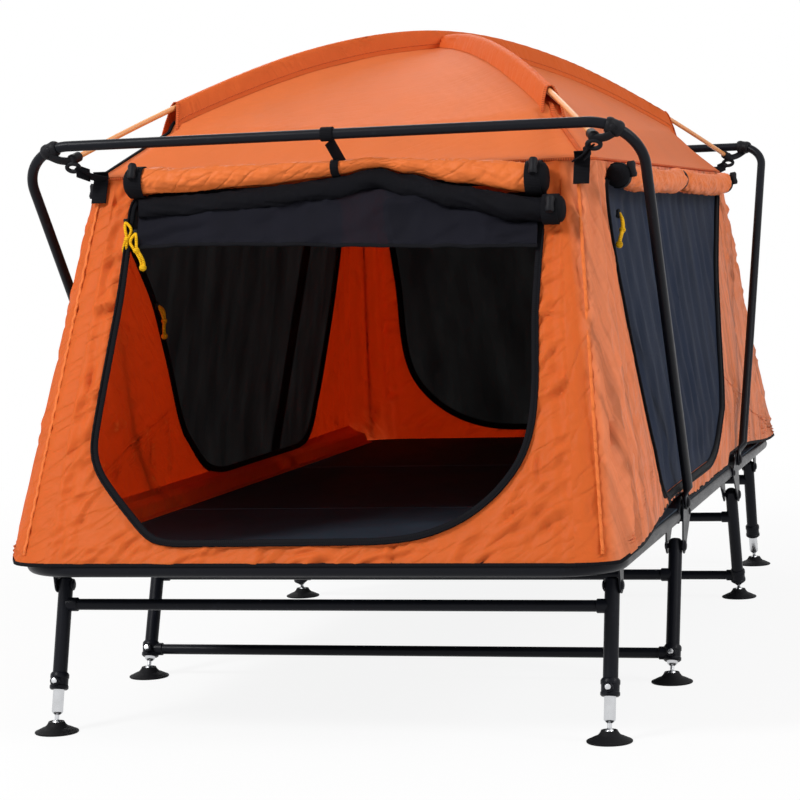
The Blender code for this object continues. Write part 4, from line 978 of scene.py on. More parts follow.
def roof_top(x, y):
    """Height of the roof: ridges under the poles, panels that sag between them, a level eave.

    Past the sleeves' ends the corners are cut away: a step down, then a slope to the eave.
    """
    share = plan_scale(x, y)
    reach = share * CORNER_REACH
    a, b = abs(x) / EAVE_HALF_W, abs(y) / EAVE_HALF_L
    corner = min(a, b) / max(a, b) if max(a, b) else 1.0
    fall = ease(ROOF_TUCK_FROM, CORNER_REACH, reach)
    past = min(max((reach - ROOF_TUCK_FROM) / (CORNER_REACH - ROOF_TUCK_FROM), 0.0), 1.0)
    cut = CUT_STEP * ease(ROOF_TUCK_FROM - 0.004, ROOF_TUCK_FROM + 0.010, reach) + CUT_SLOPE * past
    fall = mix(fall, cut, ease(0.86, 0.96, corner))
    ridge = ridge_height(reach) - AT_CORNER * fall
    return ridge - PANEL_SAG * 4 * share * (1 - share) * (1 - corner ** 2)


def eave_path(step=0.010, grow=0.0):
    """Plan points round the eave."""
    core = np.array([EAVE_HALF_W - EAVE_CORNER_R, EAVE_HALF_L - EAVE_CORNER_R])
    radius = EAVE_CORNER_R + grow
    points = []
    for sx, sy, start in ((1, 1, 0), (-1, 1, 1), (-1, -1, 2), (1, -1, 3)):
        for i in range(9):
            angle = (start + i / 8) * pi / 2
            points.append((sx * core[0] + radius * cos(angle), sy * core[1] + radius * sin(angle)))
    return evenly(np.array(points), step)


def roof_cloth():
    """The dome as one sheet of rings from its peak to its eave, with drag lines to the corners."""
    outline, rings = eave_path(0.009), 44
    step_at = ROOF_TUCK_FROM / CORNER_REACH
    shares = [max(k / rings, 0.003) for k in range(rings + 1) if abs(k / rings - step_at) > 0.018]
    shares += [step_at + 0.004 * k for k in range(-3, 5)]
    rows, uvs = [], []
    for share in sorted(shares):
        row = []
        for x, y in outline * share:
            a, b = abs(x) / EAVE_HALF_W, abs(y) / EAVE_HALF_L
            panel = 1 - (min(a, b) / max(a, b)) ** 2
            hold = panel * ease(0, 0.12, 1 - share) * ease(0.05, 0.3, share)
            folds = 0.0020 * crumple(x * 0.8, y * 0.8, 2.0, 0.6)
            drag = 0.0012 * sin(120 * (a - b)) * share ** 2
            row.append((x, y, roof_top(x, y) + hold * (folds + drag)))
        rows.append(row)
        uvs.append(outline * share)
    shape = Shape()
    first = shape.grid(rows, uvs, around=True, flip=True)
    shape.faces.append(tuple(first + i for i in range(len(outline))))
    flat = shape.area()
    shape.thicken(CLOTH_T)
    piece = make_tent("roof_cloth", shape, "roof_orange", ["roof"])


def pole_points(slope, low, high, steps=90):
    """The middle line of a pole between two distances from the apex."""
    reach = np.linspace(low, high, steps + 1)
    return np.stack([slope * reach * POLE_DIR[0], reach * POLE_DIR[1],
                     pole_height(np.abs(reach), pole_apex(slope))], axis=1)


def pole_sleeve(name, slope):
    """A stitched sleeve over a pole: an upright fold from which the roof hangs."""
    apex = pole_apex(slope)
    across = np.array([POLE_DIR[1], -slope * POLE_DIR[0]])
    steps, sides = 110, 18
    rows, uvs = [], []
    for i in range(steps + 1):
        reach = mix(-SLEEVE_END, SLEEVE_END, i / steps)
        top = float(pole_height(abs(reach), apex)) + 0.0066
        row, uv = [], []
        for k in range(sides + 1):
            t = mix(-1, 1, k / sides)
            pucker = 1 + 0.05 * ripple(reach * 30, t, slope * 4)
            there = reach * (1 + 0.028 * abs(t) ** 1.5 * (abs(reach) / SLEEVE_END) ** 12)
            middle = np.array([slope * there * POLE_DIR[0], there * POLE_DIR[1]])
            place = middle + across * (t * SLEEVE_HALF_W * pucker)
            base = roof_top(*place) + 0.0006
            arch = min((1 - abs(t)) / 0.72, 1.0) ** 0.9
            gather = sin(reach * 260 + 26 * abs(t) + 7 * ripple(reach * 9, t * 0.7, slope * 9))
            gather *= 0.0022 * sin(pi * abs(t)) * (0.5 + ripple(reach * 6, 2, slope))
            bulge = across * (gather * (1 if t > 0 else -1))
            row.append((place[0] + bulge[0], place[1] + bulge[1], max(mix(base, top, arch), base)))
            uv.append((t * 0.03, reach))
        rows.append(row)
        uvs.append(uv)
    shape = Shape()
    shape.grid(rows, uvs, flip=slope < 0)
    shape.thicken(0.0010)
    piece = make_tent(name, shape, "sleeve_orange_painted_shade")
    ends, stitches = Shape(), Shape()
    above = np.array([0, 0, 0.0004])
    for row in (rows[0], rows[-1]):
        ends.carry(np.array(row) + above, strap_section(0.005, 0.0020), (0, 0, 1))
    for edge in (1, -2):
        stitches.tube(np.array([row[edge] for row in rows]) + above, 0.0007, 6)
    make_tent(name + "_end_binding", ends, "seam_orange")
    make_tent(name + "_stitching", stitches, "seam_orange")


def roof_corner_binding():
    """Binding down each cut-away corner of the roof, from the sleeve's end to the eave."""
    black, orange = Shape(), Shape()
    steps = 60
    for sx in (-1, 1):
        for sy in (-1, 1):
            line = []
            for i in range(steps + 1):
                reach = mix(SLEEVE_END - 0.002, CORNER_REACH - 0.002, i / steps)
                x, y = sx * reach * POLE_DIR[0], sy * reach * POLE_DIR[1]
                line.append((x, y, roof_top(x, y) + 0.0012))
            shape = orange if sx > 0 > sy else black
            shape.carry(line, strap_section(0.0080, 0.0030), (0, 0, 1))
    make_tent("roof_corner_binding", black, "black_tape")
    make_tent("roof_corner_piping", orange, "seam_orange")


def eave_seam():
    """The piped seam that joins the roof to the walls."""
    plan = eave_path(0.010, 0.0005)
    path = np.column_stack([plan, np.full(len(plan), EAVE_Z + 0.0006)])
    shape = Shape()
    shape.tube(path, 0.0022, 10, closed=True)
    make_tent("eave_seam", shape, "seam_orange")


def corner_seams():
    """Puckered felled seams down the four corners of the tent."""
    shape = Shape()
    z = np.linspace(HEM_Z + HEM_LIFT + 0.014, EAVE_Z - 0.001, 140)
    for wall in (RIGHT, LEFT):
        for side in (-1, 1):
            along = side * (half_length(z) - corner_radius(z) * (1 - CORNER_SEAM_TURN))
            pucker = 0.0009 * np.sin(2 * pi * z / 0.019 + 2 * np.sin(z * 31))
            shape.carry(wall.at(along, z, 0.0012 + pucker), strap_section(0.0052, 0.0030),
                        wall.way_out(along, z))
    make_tent("corner_seams", shape, "rolled_orange")


def hem_binding():
    """Black binding round the lower edge of all four walls."""
    shape = Shape()
    section, steps = strap_section(0.0055, 0.0026), 60
    z = np.full(steps, HEM_Z + HEM_LIFT + 0.0012)
    along = np.linspace(-end_edge(HEM_Z), end_edge(HEM_Z), steps)
    for wall in (FRONT, REAR):
        shape.carry(wall.at(along, z, -CLOTH_T / 2), section, wall.way_out(along, z))
    border = side_border(0.012)
    low = border[:np.argmax(border[:, 0]) + 1]
    for wall in (RIGHT, LEFT):
        shape.carry(wall.at(low[:, 0], low[:, 1] + 0.0012, -CLOTH_T / 2), section,
                    wall.way_out(low[:, 0], low[:, 1]))
    make_tent("hem_binding", shape, "black_tape")


SKIRT_FALL = ((0.4445, 0.2975), (0.4290, 0.2925), (0.4215, 0.2905), (0.4165, 0.2745), (0.4050, 0.2722))


def draught_skirt():
    """Strips of tent cloth inside the side walls, from the wall in over the hinges to the bed."""
    along = np.linspace(-0.89, 0.89, 150)
    for wall, name in ((RIGHT, "right"), (LEFT, "left")):
        wall_line = wall.at(along, 0.309, -0.0042)
        rows = [wall_line]
        for x, z in SKIRT_FALL:
            line = wall_line.copy()
            line[:, 0] = wall.turn[0] * np.minimum(x, np.abs(wall_line[:, 0]) - 0.002)
            line[:, 2] = z
            rows.append(line)
        shape = Shape()
        shape.grid(rows, [[(y, k * 0.016) for y in along] for k in range(len(rows))], flip=wall.flip)
        shape.thicken(0.0008)
        piece = make_tent(f"{name}_draught_skirt", shape, "tent_orange")


# Rolled flaps, straps, toggles and zip pulls

def even_roll(wide, thick, ties, sag):
    """The form of a roll that is pinched at its ties and sags between them."""

    def form(x):
        near = min((abs(x - tie) for tie in ties), default=1.0)
        pinch = 1 - 0.16 * (1 - ease(0, 0.045, near))
        return -sag * ease(0.01, 0.14, near), wide * pinch, thick * pinch
    return form


def rolled_flap(name, node, seat, span, form, turns=6.5, lumps=1.0, seed=1.0, steps=72, sides=26,
                finish="rolled_orange"):
    """A flap rolled up: a spiral of cloth whose form gives its rise, height and depth along it."""
    seat, along, out, up = seat
    places = np.linspace(*span, steps + 1)
    middle = sum(span) / 2
    forms = [form(x) for x in places]
    wide, thick = np.mean(forms, axis=0)[1:]
    rows, uvs = [], []
    length = 0.0
    for k in range(int(turns * sides) + 1):
        turn = k / sides
        angle = 2 * pi * turn + 0.8
        scale = mix(0.22, 1.0, turn / turns)
        short = 1 - 0.012 * sin(3.1 * turn + seed) ** 2
        row = []
        for x, (rise, tall, deep) in zip(places, forms):
            x = middle + (x - middle) * short
            lump = 0.08 * ripple(x * 20, angle * 0.9, seed)
            lump += 0.07 * ripple(x * 46 + angle * 3, angle * 0.6, seed + 5)
            lump += 0.055 * (0.5 - 2 * abs(ripple(x * 70 + angle * 5, angle * 1.2, seed + 9)))
            reach = scale * (1 + lump * scale * lumps)
            point = (seat + along * x + out * (deep + 0.0008 + reach * deep * cos(angle))
                     + up * (rise + reach * tall * sin(angle)))
            row.append(tuple(point))
        rows.append(row)
        length += 2 * pi * scale * (wide + thick) / 2 / sides
        uvs.append([(x, length) for x in places])
    shape = Shape()
    shape.grid(rows, uvs)
    cut = shape.area()
    shape.thicken(0.0009)
    piece = make_tent(name, shape, finish, [node], crease=70, outward=True)


def seat_on(wall, z):
    """Middle of a wall at a height, with the ways along it, out of it and up it."""
    seat = Vector(wall.at(0.0, z))
    out = Vector(wall.way_out(0.0, z))
    along = Vector(unit(wall.at(0.01, z) - wall.at(-0.01, z)))
    up = Vector(unit(wall.at(0.0, z + 0.01) - wall.at(0.0, z - 0.01)))
    return seat, along, out, up


def strap_round(shape, seat, x, form, width=0.020, grow=1.04):
    """A webbing loop round a rolled flap, from the wall over the roll and back."""
    seat, along, out, up = seat
    rise, wide, thick = form(x)
    middle = seat + along * x + up * rise + out * thick
    turns = np.linspace(-0.66 * pi, 0.66 * pi, 33)
    path = np.array([middle + out * max(thick * grow * cos(turn), 0.0012 - thick)
                     + up * (wide * grow * sin(turn)) for turn in turns])
    shape.carry(path, strap_section(width, 0.0018), unit(path - np.array(tuple(middle))))


def end_tie(shape, toggles, seat, x, form, side, lift=0.0):
    """The black tie at a roll's end: a wide loop, its gathered end cap and a barrel toggle on it."""
    strap_round(shape, seat, x, form, 0.024, 1.12)
    (seat, along, out, up), (rise, wide, thick) = seat, form(x)
    middle = seat + along * (x + side * 0.010) + up * rise + out * thick
    reach = 1.10 * (wide + thick) / 2
    shape.turn([(reach * 1.02, -0.010), (reach * 1.04, 0.0), (reach * 0.96, 0.005), (reach * 0.70, 0.009),
                (reach * 0.35, 0.0105), (0, 0.010)], middle, along * side, 14)
    on_roll = out * (thick * 1.12 + 0.004) + up * (wide * 0.35 + lift)
    toggle(toggles, middle - along * (side * 0.008) + on_roll, up, 0.024, 0.0070)


def toggle(shape, centre, along, length=0.026, radius=0.0075):
    """A barrel toggle."""
    shape.turn([(0, -length / 2), (radius * 0.75, -length / 2), (radius, -length / 3), (radius * 0.82, 0),
                (radius, length / 3), (radius * 0.75, length / 2), (0, length / 2)], centre, along, 24)


def zip_pull(sliders, cord, top, hang, way_out, wave=1.0, length=0.055):
    """A zip slider with a knotted loop of yellow cord."""
    top, way_out, hang = Vector(top), Vector(way_out), Vector(hang).normalized()
    side = way_out.cross(hang).normalized()
    body = top + way_out * 0.0045
    toggle(sliders, body, hang, 0.013, 0.0040)
    for offset in (-0.0026, 0.0026):
        line = [body + way_out * 0.002]
        for i in range(1, 8):
            share = i / 7
            spread = offset * (0.3 + 1.5 * sin(pi * min(share * 2, 1)) if share < 0.5 else 0.8)
            line.append(body + way_out * (0.004 + 0.003 * sin(3 * share)) + hang * (length * share)
                        + side * (spread + 0.0045 * wave * sin(5.5 * share)))
        path = curve_through([tuple(p) for p in line], 6)
        cord.tube(path, 0.0023, 10, up=tuple(way_out))
    for share, size in ((0.50, 0.0052), (0.98, 0.0058)):
        at = path[int(share * (len(path) - 1))]
        cord.turn([(0, -size), (size * 0.8, -size * 0.6), (size, 0), (size * 0.8, size * 0.6), (0, size)],
                  at - np.array(tuple(side * 0.002)), hang, 16)


# Bed frame, legs and feet

def rails():
    end, ease_in = HINGE_Y - RAIL_END_GAP, 0.0012
    for name, side in SIDES:
        shape = Shape()
        shape.turn([(0, -end), (RAIL_R - ease_in, -end), (RAIL_R, -end + ease_in), (RAIL_R, end - ease_in),
                    (RAIL_R - ease_in, end), (0, end)], (side * RAIL_X, 0, RAIL_Z), (0, 1, 0), 28)
        make(f"{name}_bed_rail", shape, "black_tube", "base", [f"{name}_middle_rail"])


def circle_round(centre, radius, count=28):
    return [(centre[0] + radius * cos(2 * pi * i / count), centre[1] + radius * sin(2 * pi * i / count))
            for i in range(count)]


def hull(points):
    """The outline round a set of points."""
    points = sorted(set(points))
    chains = []
    for run in (points, points[::-1]):
        chain = []
        for point in run:
            while len(chain) > 1:
                (ax, ay), (bx, by) = chain[-2], chain[-1]
                if (bx - ax) * (point[1] - ay) - (by - ay) * (point[0] - ax) > 0:
                    break
                chain.pop()
            chain.append(point)
        chains += chain[:-1]
    return chains


def cross_plate(shape, outline, side, inner, outer):
    """A plate in the plane across X, between two distances from the middle of the bed."""
    shape.plate(outline, *sorted((side * inner, side * outer)), lambda a, b, depth: (depth, a, b))


def bolt(shape, centre, way, radius=0.0075, height=0.0034):
    """A domed bolt head on a washer."""
    shape.turn([(0, 0), (radius * 1.25, 0), (radius * 1.25, 0.0009), (radius, 0.0010),
                (radius, height * 0.45), (radius * 0.86, height * 0.78), (radius * 0.45, height), (0, height)],
               centre, way, 28)


def pin(shape, centre, way, start, end):
    """A plain pin of 8 mm."""
    shape.turn([(0, start), (0.004, start), (0.004, end), (0, end)], centre, way, 20)


def hinge_bracket(name, end, side):
    """Two plates with a web between them, the hinge's pin and the leg's pin."""
    outline = hull(circle_round((end * HINGE_Y, PIN_Z), PLATE_EYE_R)
                   + circle_round((end * MID_LEG_Y, MID_LEG_Z), PLATE_EYE_R)
                   + circle_round((end * PLATE_ARM_Y, RAIL_Z), PLATE_ARM_R))
    plates, pins = Shape(), Shape()
    cross_plate(plates, outline, side, INNER_PLATE_IN, INNER_PLATE_OUT)
    cross_plate(plates, outline, side, PLATE_IN, PLATE_OUT)
    web_z = RAIL_Z - RAIL_R - 0.0003
    web = [(end * PLATE_ARM_Y, web_z - WEB_T), (end * WEB_END_Y, web_z - WEB_T), (end * WEB_END_Y, web_z),
           (end * PLATE_ARM_Y, web_z)]
    cross_plate(plates, web, side, INNER_PLATE_OUT, PLATE_IN)
    way = (side, 0, 0)
    for y, z, reach in ((end * HINGE_Y, PIN_Z, HINGE_PIN_END), (end * MID_LEG_Y, MID_LEG_Z, PLATE_OUT)):
        inner = (side * INNER_PLATE_IN, y, z)
        pin(pins, inner, way, -0.001, reach - INNER_PLATE_IN)
        bolt(pins, (side * reach, y, z), way)
        bolt(pins, inner, (-side, 0, 0), 0.0065, 0.0026)
    bolt(pins, (side * PLATE_OUT, end * (PLATE_ARM_Y + 0.001), RAIL_Z), way, 0.0045, 0.0022)
    make(name + "_plates", plates, "black_tube", "base", [name + "_bracket"], outward=True)
    make(name + "_bolts", pins, "black_nylon", "base", outward=True)


def end_frame(name, end):
    """A U-shaped tube with a knuckle at each hinge and a lug for each end leg."""
    start = HINGE_Y + RAIL_END_GAP
    corners = [(side * RAIL_X, end * y, RAIL_Z)
               for side, y in ((-1, start), (-1, FRAME_END_Y), (1, FRAME_END_Y), (1, start))]
    shape = Shape()
    shape.tube(bend(corners, FRAME_CORNER_R, 18), RAIL_R, 28)
    half_h, root_y = RAIL_R - 0.002, start + RAIL_R / 2
    knuckle = hull([(end * root_y, RAIL_Z - half_h), (end * root_y, RAIL_Z + half_h),
                    (end * start, RAIL_Z - half_h)] + circle_round((end * HINGE_Y, PIN_Z), KNUCKLE_R))
    lug = hull(circle_round((end * END_LEG_Y, END_LEG_Z), LUG_R)
               + [(end * (END_LEG_Y + reach), RAIL_Z - 0.004) for reach in (-LUG_HALF_L, LUG_HALF_L)])
    face, back = END_LEG_X + LEG_R + 0.0003, END_LEG_X - LEG_R - 0.0003
    for _, side in SIDES:
        cross_plate(shape, knuckle, side, RAIL_X - KNUCKLE_HALF_W, RAIL_X + KNUCKLE_HALF_W)
        cross_plate(shape, lug, side, face, face + LUG_T)
        bolt(shape, (side * (face + LUG_T), end * END_LEG_Y, END_LEG_Z), (side, 0, 0), 0.0065, 0.003)
        pin(shape, (side * (face + 0.001), end * END_LEG_Y, END_LEG_Z), (-side, 0, 0), 0, 0.026)
        bolt(shape, (side * back, end * END_LEG_Y, END_LEG_Z), (-side, 0, 0), 0.0072, 0.0032)
    make(f"{name}_bed_frame", shape, "black_tube", f"{name}_section", [f"{name}_frame"],
         outward=True)


def deck_half_width(y):
    """Half the deck's width: less between the hinge brackets and round the frame's corners."""
    if BRACKET_FROM < abs(y) < BRACKET_TO:
        return INNER_PLATE_IN - DECK_EDGE
    over = min(max(abs(y) - FRAME_END_Y + FRAME_CORNER_R, 0), FRAME_CORNER_R)
    return DECK_HALF_W - FRAME_CORNER_R + sqrt(FRAME_CORNER_R ** 2 - over ** 2)


def deck_cloth(name, body, low, high, seed):
    """A panel of black cloth, stretched over the rails and slack in the middle."""
    rows = []
    for y in np.linspace(low, high, int((high - low) / 0.012)):
        half, near = deck_half_width(y), min(abs(y - low), abs(y - high))
        row = []
        for x in np.linspace(-DECK_HALF_W, DECK_HALF_W, 90):
            x = x / DECK_HALF_W * half
            edge = half - abs(x)
            slack = 0.0065 * ease(0.0, 0.16, edge) * ease(0, 0.10, near)
            crease = 0.0012 * crumple(x, y, seed) * ease(0.02, 0.08, min(edge, near * 1.5))
            row.append((x, y, DECK_TOP - 0.0004 - slack + crease))
        rows.append(row)
    shape = Shape()
    shape.grid(rows, np.array(rows)[..., :2])
    flat = shape.area()
    shape.thicken(0.0022)
    piece = make(f"{name}_bed_cloth", shape, "bed_black", body, [f"{name}_deck"], 60)


class Row:
    """The line of one row's legs: pivot, the way down the leg, the way out, and where the ball is."""

    def __init__(self, end, kind):
        if kind == "end":
            self.x, y, z, tilt, self.length = END_LEG_X, END_LEG_Y, END_LEG_Z, radians(17), 0.159
            self.bars, self.bore_from = (0.030,), 0.053
        else:
            self.x, y, z, tilt, self.length = RAIL_X, MID_LEG_Y, MID_LEG_Z, radians(22), 0.189
            self.bars, self.bore_from = (0.048, 0.176), self.length - 0.106
        self.pivot = Vector((0, end * y, z))
        self.down = Vector((0, end * sin(tilt), -cos(tilt)))
        self.out = Vector((0, end * cos(tilt), sin(tilt)))
        self.ball_at = (z - BALL_Z) / cos(tilt)

    def point(self, side, distance):
        return self.pivot + Vector((side * self.x, 0, 0)) + self.down * distance


# Profiles of (radius, height)
COLLAR = [(BORE_R, 0), (COLLAR_R - 0.002, 0), (COLLAR_R, 0.002), (COLLAR_R, 0.006),
          (COLLAR_R - 0.0009, 0.007), (COLLAR_R - 0.0009, 0.0165), (COLLAR_R, 0.0175),
          (COLLAR_R, COLLAR_H - 0.003), (COLLAR_R - 0.002, COLLAR_H), (LEG_R, COLLAR_H)]
BOSS = [(BOSS_R, 0.009), (BOSS_R, BOSS_REACH - 0.001), (BOSS_R - 0.001, BOSS_REACH), (0.0052, BOSS_REACH),
        (0.0050, BOSS_REACH - 0.004), (0, BOSS_REACH - 0.004)]
BAR_END = [(LEG_R * 0.9, 0), (0.0105, LEG_R + 0.001), (0.0105, LEG_R + 0.010), (BAR_R, LEG_R + 0.0115)]
SILVER_LEG = [(0, -0.007), (0.0035, -0.0062), (0.0061, -0.0035), (0.007, 0), (0.0061, 0.0035),
              (0.0034, 0.006), (0.0034, 0.013), (0.0055, 0.0142), (INNER_R - 0.0008, 0.0165),
              (INNER_R, 0.0175), (INNER_R, INNER_LEN - 0.001), (INNER_R - 0.001, INNER_LEN), (0, INNER_LEN)]
BUTTON = [(0, 0.0158), (0.0045, 0.0158), (0.0045, 0.0218), (0.0038, 0.0229), (0.002, 0.0232), (0, 0.0232)]
FOOT = [(0, 0), (FOOT_R - 0.001, 0), (FOOT_R, 0.0009), (FOOT_R, 0.0024), (FOOT_R - 0.001, 0.0032),
        (0.029, 0.0040), (0.0275, 0.0052), (0.022, 0.0078), (0.018, 0.0092), (0.0150, 0.0118),
        (0.0128, 0.0150), (0.0118, 0.0172), (0.0100, 0.0172), (0.0078, 0.0159),
        (0.0082, BALL_Z), (0.0058, BALL_Z - 0.0058), (0, BALL_Z - 0.0082)]


def leg_frame(name, row, body, node):
    """Two outer legs with collars, button bosses and crossbars."""
    shape = Shape()
    mouth = row.length - 0.002
    for _, side in SIDES:
        shape.turn([(0, -LEG_R), (LEG_R * 0.7, -LEG_R), (LEG_R, -LEG_R * 0.7), (LEG_R, mouth),
                    (BORE_R, mouth), (BORE_R, row.bore_from), (0, row.bore_from)],
                   row.point(side, 0), row.down, 28)
        shape.turn(COLLAR, row.point(side, row.length), -row.down, 36)
        shape.turn(BOSS, row.point(side, row.length - BOSS_RISE), row.out, 28)
        bolt(shape, row.point(side, 0) + Vector((side * LEG_R, 0, 0)), (side, 0, 0), 0.0060, 0.0002)
    for at in row.bars:
        ends = [row.point(-1, at), row.point(1, at)]
        path = [tuple(ends[0].lerp(ends[1], i / 20)) for i in range(21)]
        shape.tube(path, BAR_R, 24, up=tuple(row.out))
    for _, side in SIDES:
        for at in row.bars:
            shape.turn(BAR_END, row.point(side, at), (-side, 0, 0), 24)
    make(name, shape, "black_tube", body, [node], outward=True)


def leg(name, row, side):
    """The parts that move in and under one outer leg: silver leg, press button and foot."""
    ball, boss = row.point(side, row.ball_at), row.point(side, row.length - BOSS_RISE)
    silver, button, foot = Shape(), Shape(), Shape()
    silver.turn(SILVER_LEG, ball, -row.down, 32)
    button.turn(BUTTON, boss, row.out, 28)
    foot.turn(FOOT, (ball.x, ball.y, 0), (0, 0, 1), 56)
    make(f"{name}_silver_leg", silver, "aluminium", f"{name}_inner", [f"{name}_inner_leg"],
         outward=True)
    make(f"{name}_press_button", button, "aluminium", f"{name}_button_body",
         [f"{name}_leg_button"], outward=True)
    make(f"{name}_swivel_foot", foot, "foot_rubber", f"{name}_foot_body", [f"{name}_foot"],
         outward=True)


def bed():
    rails()
    for end_name, end in ENDS:
        for side_name, side in SIDES:
            hinge_bracket(f"{end_name}_{side_name}_hinge", end, side)
    for end_name, end in ENDS:
        end_frame(end_name, end)
    deck_cloth("middle", "base", -DECK_MID_Y, DECK_MID_Y, 3.0)
    deck_cloth("front", "front_section", -FRAME_END_Y, -DECK_END_Y, 5.0)
    deck_cloth("rear", "rear_section", DECK_END_Y, FRAME_END_Y, 8.0)
    for end_name, end in ENDS:
        for kind, key in (("end", end_name), ("middle", f"{end_name}_middle")):
            row = Row(end, kind)
            leg_frame(f"{key}_outer_legs", row, f"{key}_legs", f"{key}_leg_frame")
            for side_name, side in SIDES:
                leg(f"{key}_{side_name}", row, side)


# Hoops, clamps and poles

BAND_X = 0.432
HOOP_FOOT_FROM, TAB_X = 0.034, 0.4576
# The flattened foot: heights along the hoop and shares of the full width
HOOP_TAB = ((-0.0110, 0.35), (-0.0100, 0.62), (-0.0070, 0.88), (-0.0030, 1.0), (0.0120, 1.0), (0.0190, 0.93))
CLAMP_SWELL = (0.0102, 0.0118, 0.0124, 0.0124, 0.0116, 0.0116, 0.0116, 0.0124, 0.0124, 0.0118, 0.0102)
POLE_CUP = [(POLE_R + 0.0002, -0.0150), (0.0064, -0.0155), (0.0078, -0.0135), (0.0078, -0.003),
            (0.0086, -0.001), (0.0086, 0.003), (0.0068, 0.0055), (0, 0.0058)]


def hoop_normal(end):
    """The way out of a hoop's plane, upwards."""
    return np.array([0, -sin(HOOP_LEAN) * end, cos(HOOP_LEAN)])


def hoop_point(end, x, height):
    return Vector((x, end * (HINGE_Y + height * cos(HOOP_LEAN)), PIN_Z + height * sin(HOOP_LEAN)))


def hoop_path(name, end):
    """The hoop's centre line from foot to foot; the front one is pulled out at its left bend."""
    left = FRONT_HOOP_LEFT if name == "front" else HOOP_HALF_W
    corners = [hoop_point(end, -HOOP_FOOT_X, HOOP_FOOT_FROM), hoop_point(end, -left, HOOP_LEN),
               hoop_point(end, HOOP_HALF_W, HOOP_LEN), hoop_point(end, HOOP_FOOT_X, HOOP_FOOT_FROM)]
    return bend(corners, HOOP_BEND_R[name], 24)


def hoop(name, end):
    """A bent tube with a flattened foot at each hinge."""
    left = np.array([hoop_point(end, -TAB_X, height) for height, _ in HOOP_TAB])
    right = np.array([hoop_point(end, TAB_X, height) for height, _ in reversed(HOOP_TAB)])
    path = np.vstack([left, hoop_path(name, end), right])
    ring = circle(1.0, 28)
    section = np.empty((len(path), len(ring), 2))
    section[:] = ring * HOOP_R
    for i, (_, wide) in enumerate(HOOP_TAB):
        flat = np.column_stack([np.clip(ring[:, 0] * 1.35, -1, 1) * 0.0025, ring[:, 1] * 0.011 * wide])
        section[i] = section[-1 - i] = flat
    shape = Shape()
    shape.carry(path, section, hoop_normal(end))
    make(f"{name}_hoop_tube", shape, "black_tube", f"{name}_hoop_body", [f"{name}_hoop"], 50)


def pole_tip(end, side):
    """The end of a pole and the way it points there."""
    slope = end * side
    path = pole_points(slope, POLE_END - 0.004, POLE_END) * (side * slope, end, 1)
    return path[-1], unit(path[-1] - path[0])


def clamp(end_name, end, side_name, side):
    """A band round a hoop's bend, with an arm, a cup for the pole's end, a bolt and a claw ring."""
    path, normal = hoop_path(end_name, end), hoop_normal(end)
    length = np.concatenate([[0], np.cumsum(np.linalg.norm(np.diff(path, axis=0), axis=1))])
    on_top_bar = path[:, 2] > HOOP_TOP_Z - 0.06
    here = int((np.abs(path[:, 0] - side * BAND_X) + ~on_top_bar).argmin())
    middle = path[here]
    along = length[here] + np.linspace(-0.0125, 0.0125, len(CLAMP_SWELL))
    band = np.stack([np.interp(along, length, path[:, i]) for i in range(3)], axis=1)
    tip, way = pole_tip(end, side)
    shape = Shape()
    shape.carry(band, circle(1.0, 32)[None] * np.array(CLAMP_SWELL)[:, None, None], normal)
    shape.turn(POLE_CUP, tip, way, 28)
    root = middle - normal * 0.0085 - (0, 0, 0.004)
    arm = curve_through([root, mix(root, tip, 0.45) - (0, 0, 0.004), tip - (0, 0, 0.003)], 8)
    shape.carry(arm, strap_section(0.0135, 0.0065), normal)
    bolt(shape, middle + (0, end * 0.0118, 0), (0, end, 0), 0.0042, 0.0024)
    claw = tip - (0, 0, 0.0120)
    ring = [claw + (side * 0.0098 * cos(turn), end * 0.003 * sin(turn), 0.0058 * sin(turn))
            for turn in np.linspace(0, 2 * pi, 24, endpoint=False)]
    shape.tube(ring, 0.0034, 12, up=(0, 1, 0), closed=True)
    make(f"{end_name}_{side_name}_pole_clamp", shape, "black_nylon", f"{end_name}_hoop_body",
         [f"{end_name}_{side_name}_hoop_clamp"], outward=True)


def pole(name, slope):
    shape = Shape()
    shape.tube(pole_points(slope, -POLE_END, POLE_END, 120), POLE_R, 20,
               up=(POLE_DIR[1], -slope * POLE_DIR[0], 0))
    make_tent(f"{name}_roof_rod", shape, "tan_fibre", [f"{name}_roof_pole"], 50)


def hoops_and_poles():
    for end_name, end in ENDS:
        hoop(end_name, end)
    for end_name, end in ENDS:
        for side_name, side in SIDES:
            clamp(end_name, end, side_name, side)
    pole("upper", 1)
    pole("lower", -1)


# Tent

def door_fold(along, z):
    """Depth of the folds in which the door net hangs."""
    share = float(np.clip(wall_share(z), 0, 1))
    drift = ripple(along * 3.5 + z * 2, z * 1.5, 2)
    wave = 0.5 - 0.5 * cos(2 * pi * (along + 0.12 * z) / 0.082 + 4.0 * drift)
    depth = 0.0085 * (0.45 + 0.9 * abs(ripple(along * 5, z * 1.2, 7)))
    fine = 0.0022 * (1 + ripple(along * 34 - z * 9, z * 3, 4))
    return depth * wave * sin(pi * share) ** 0.5 + fine


def window_slack(along, z):
    """Depth of the small waves in a stretched net."""
    return 0.0015 + 0.0012 * crumple(along, z, 12.0)


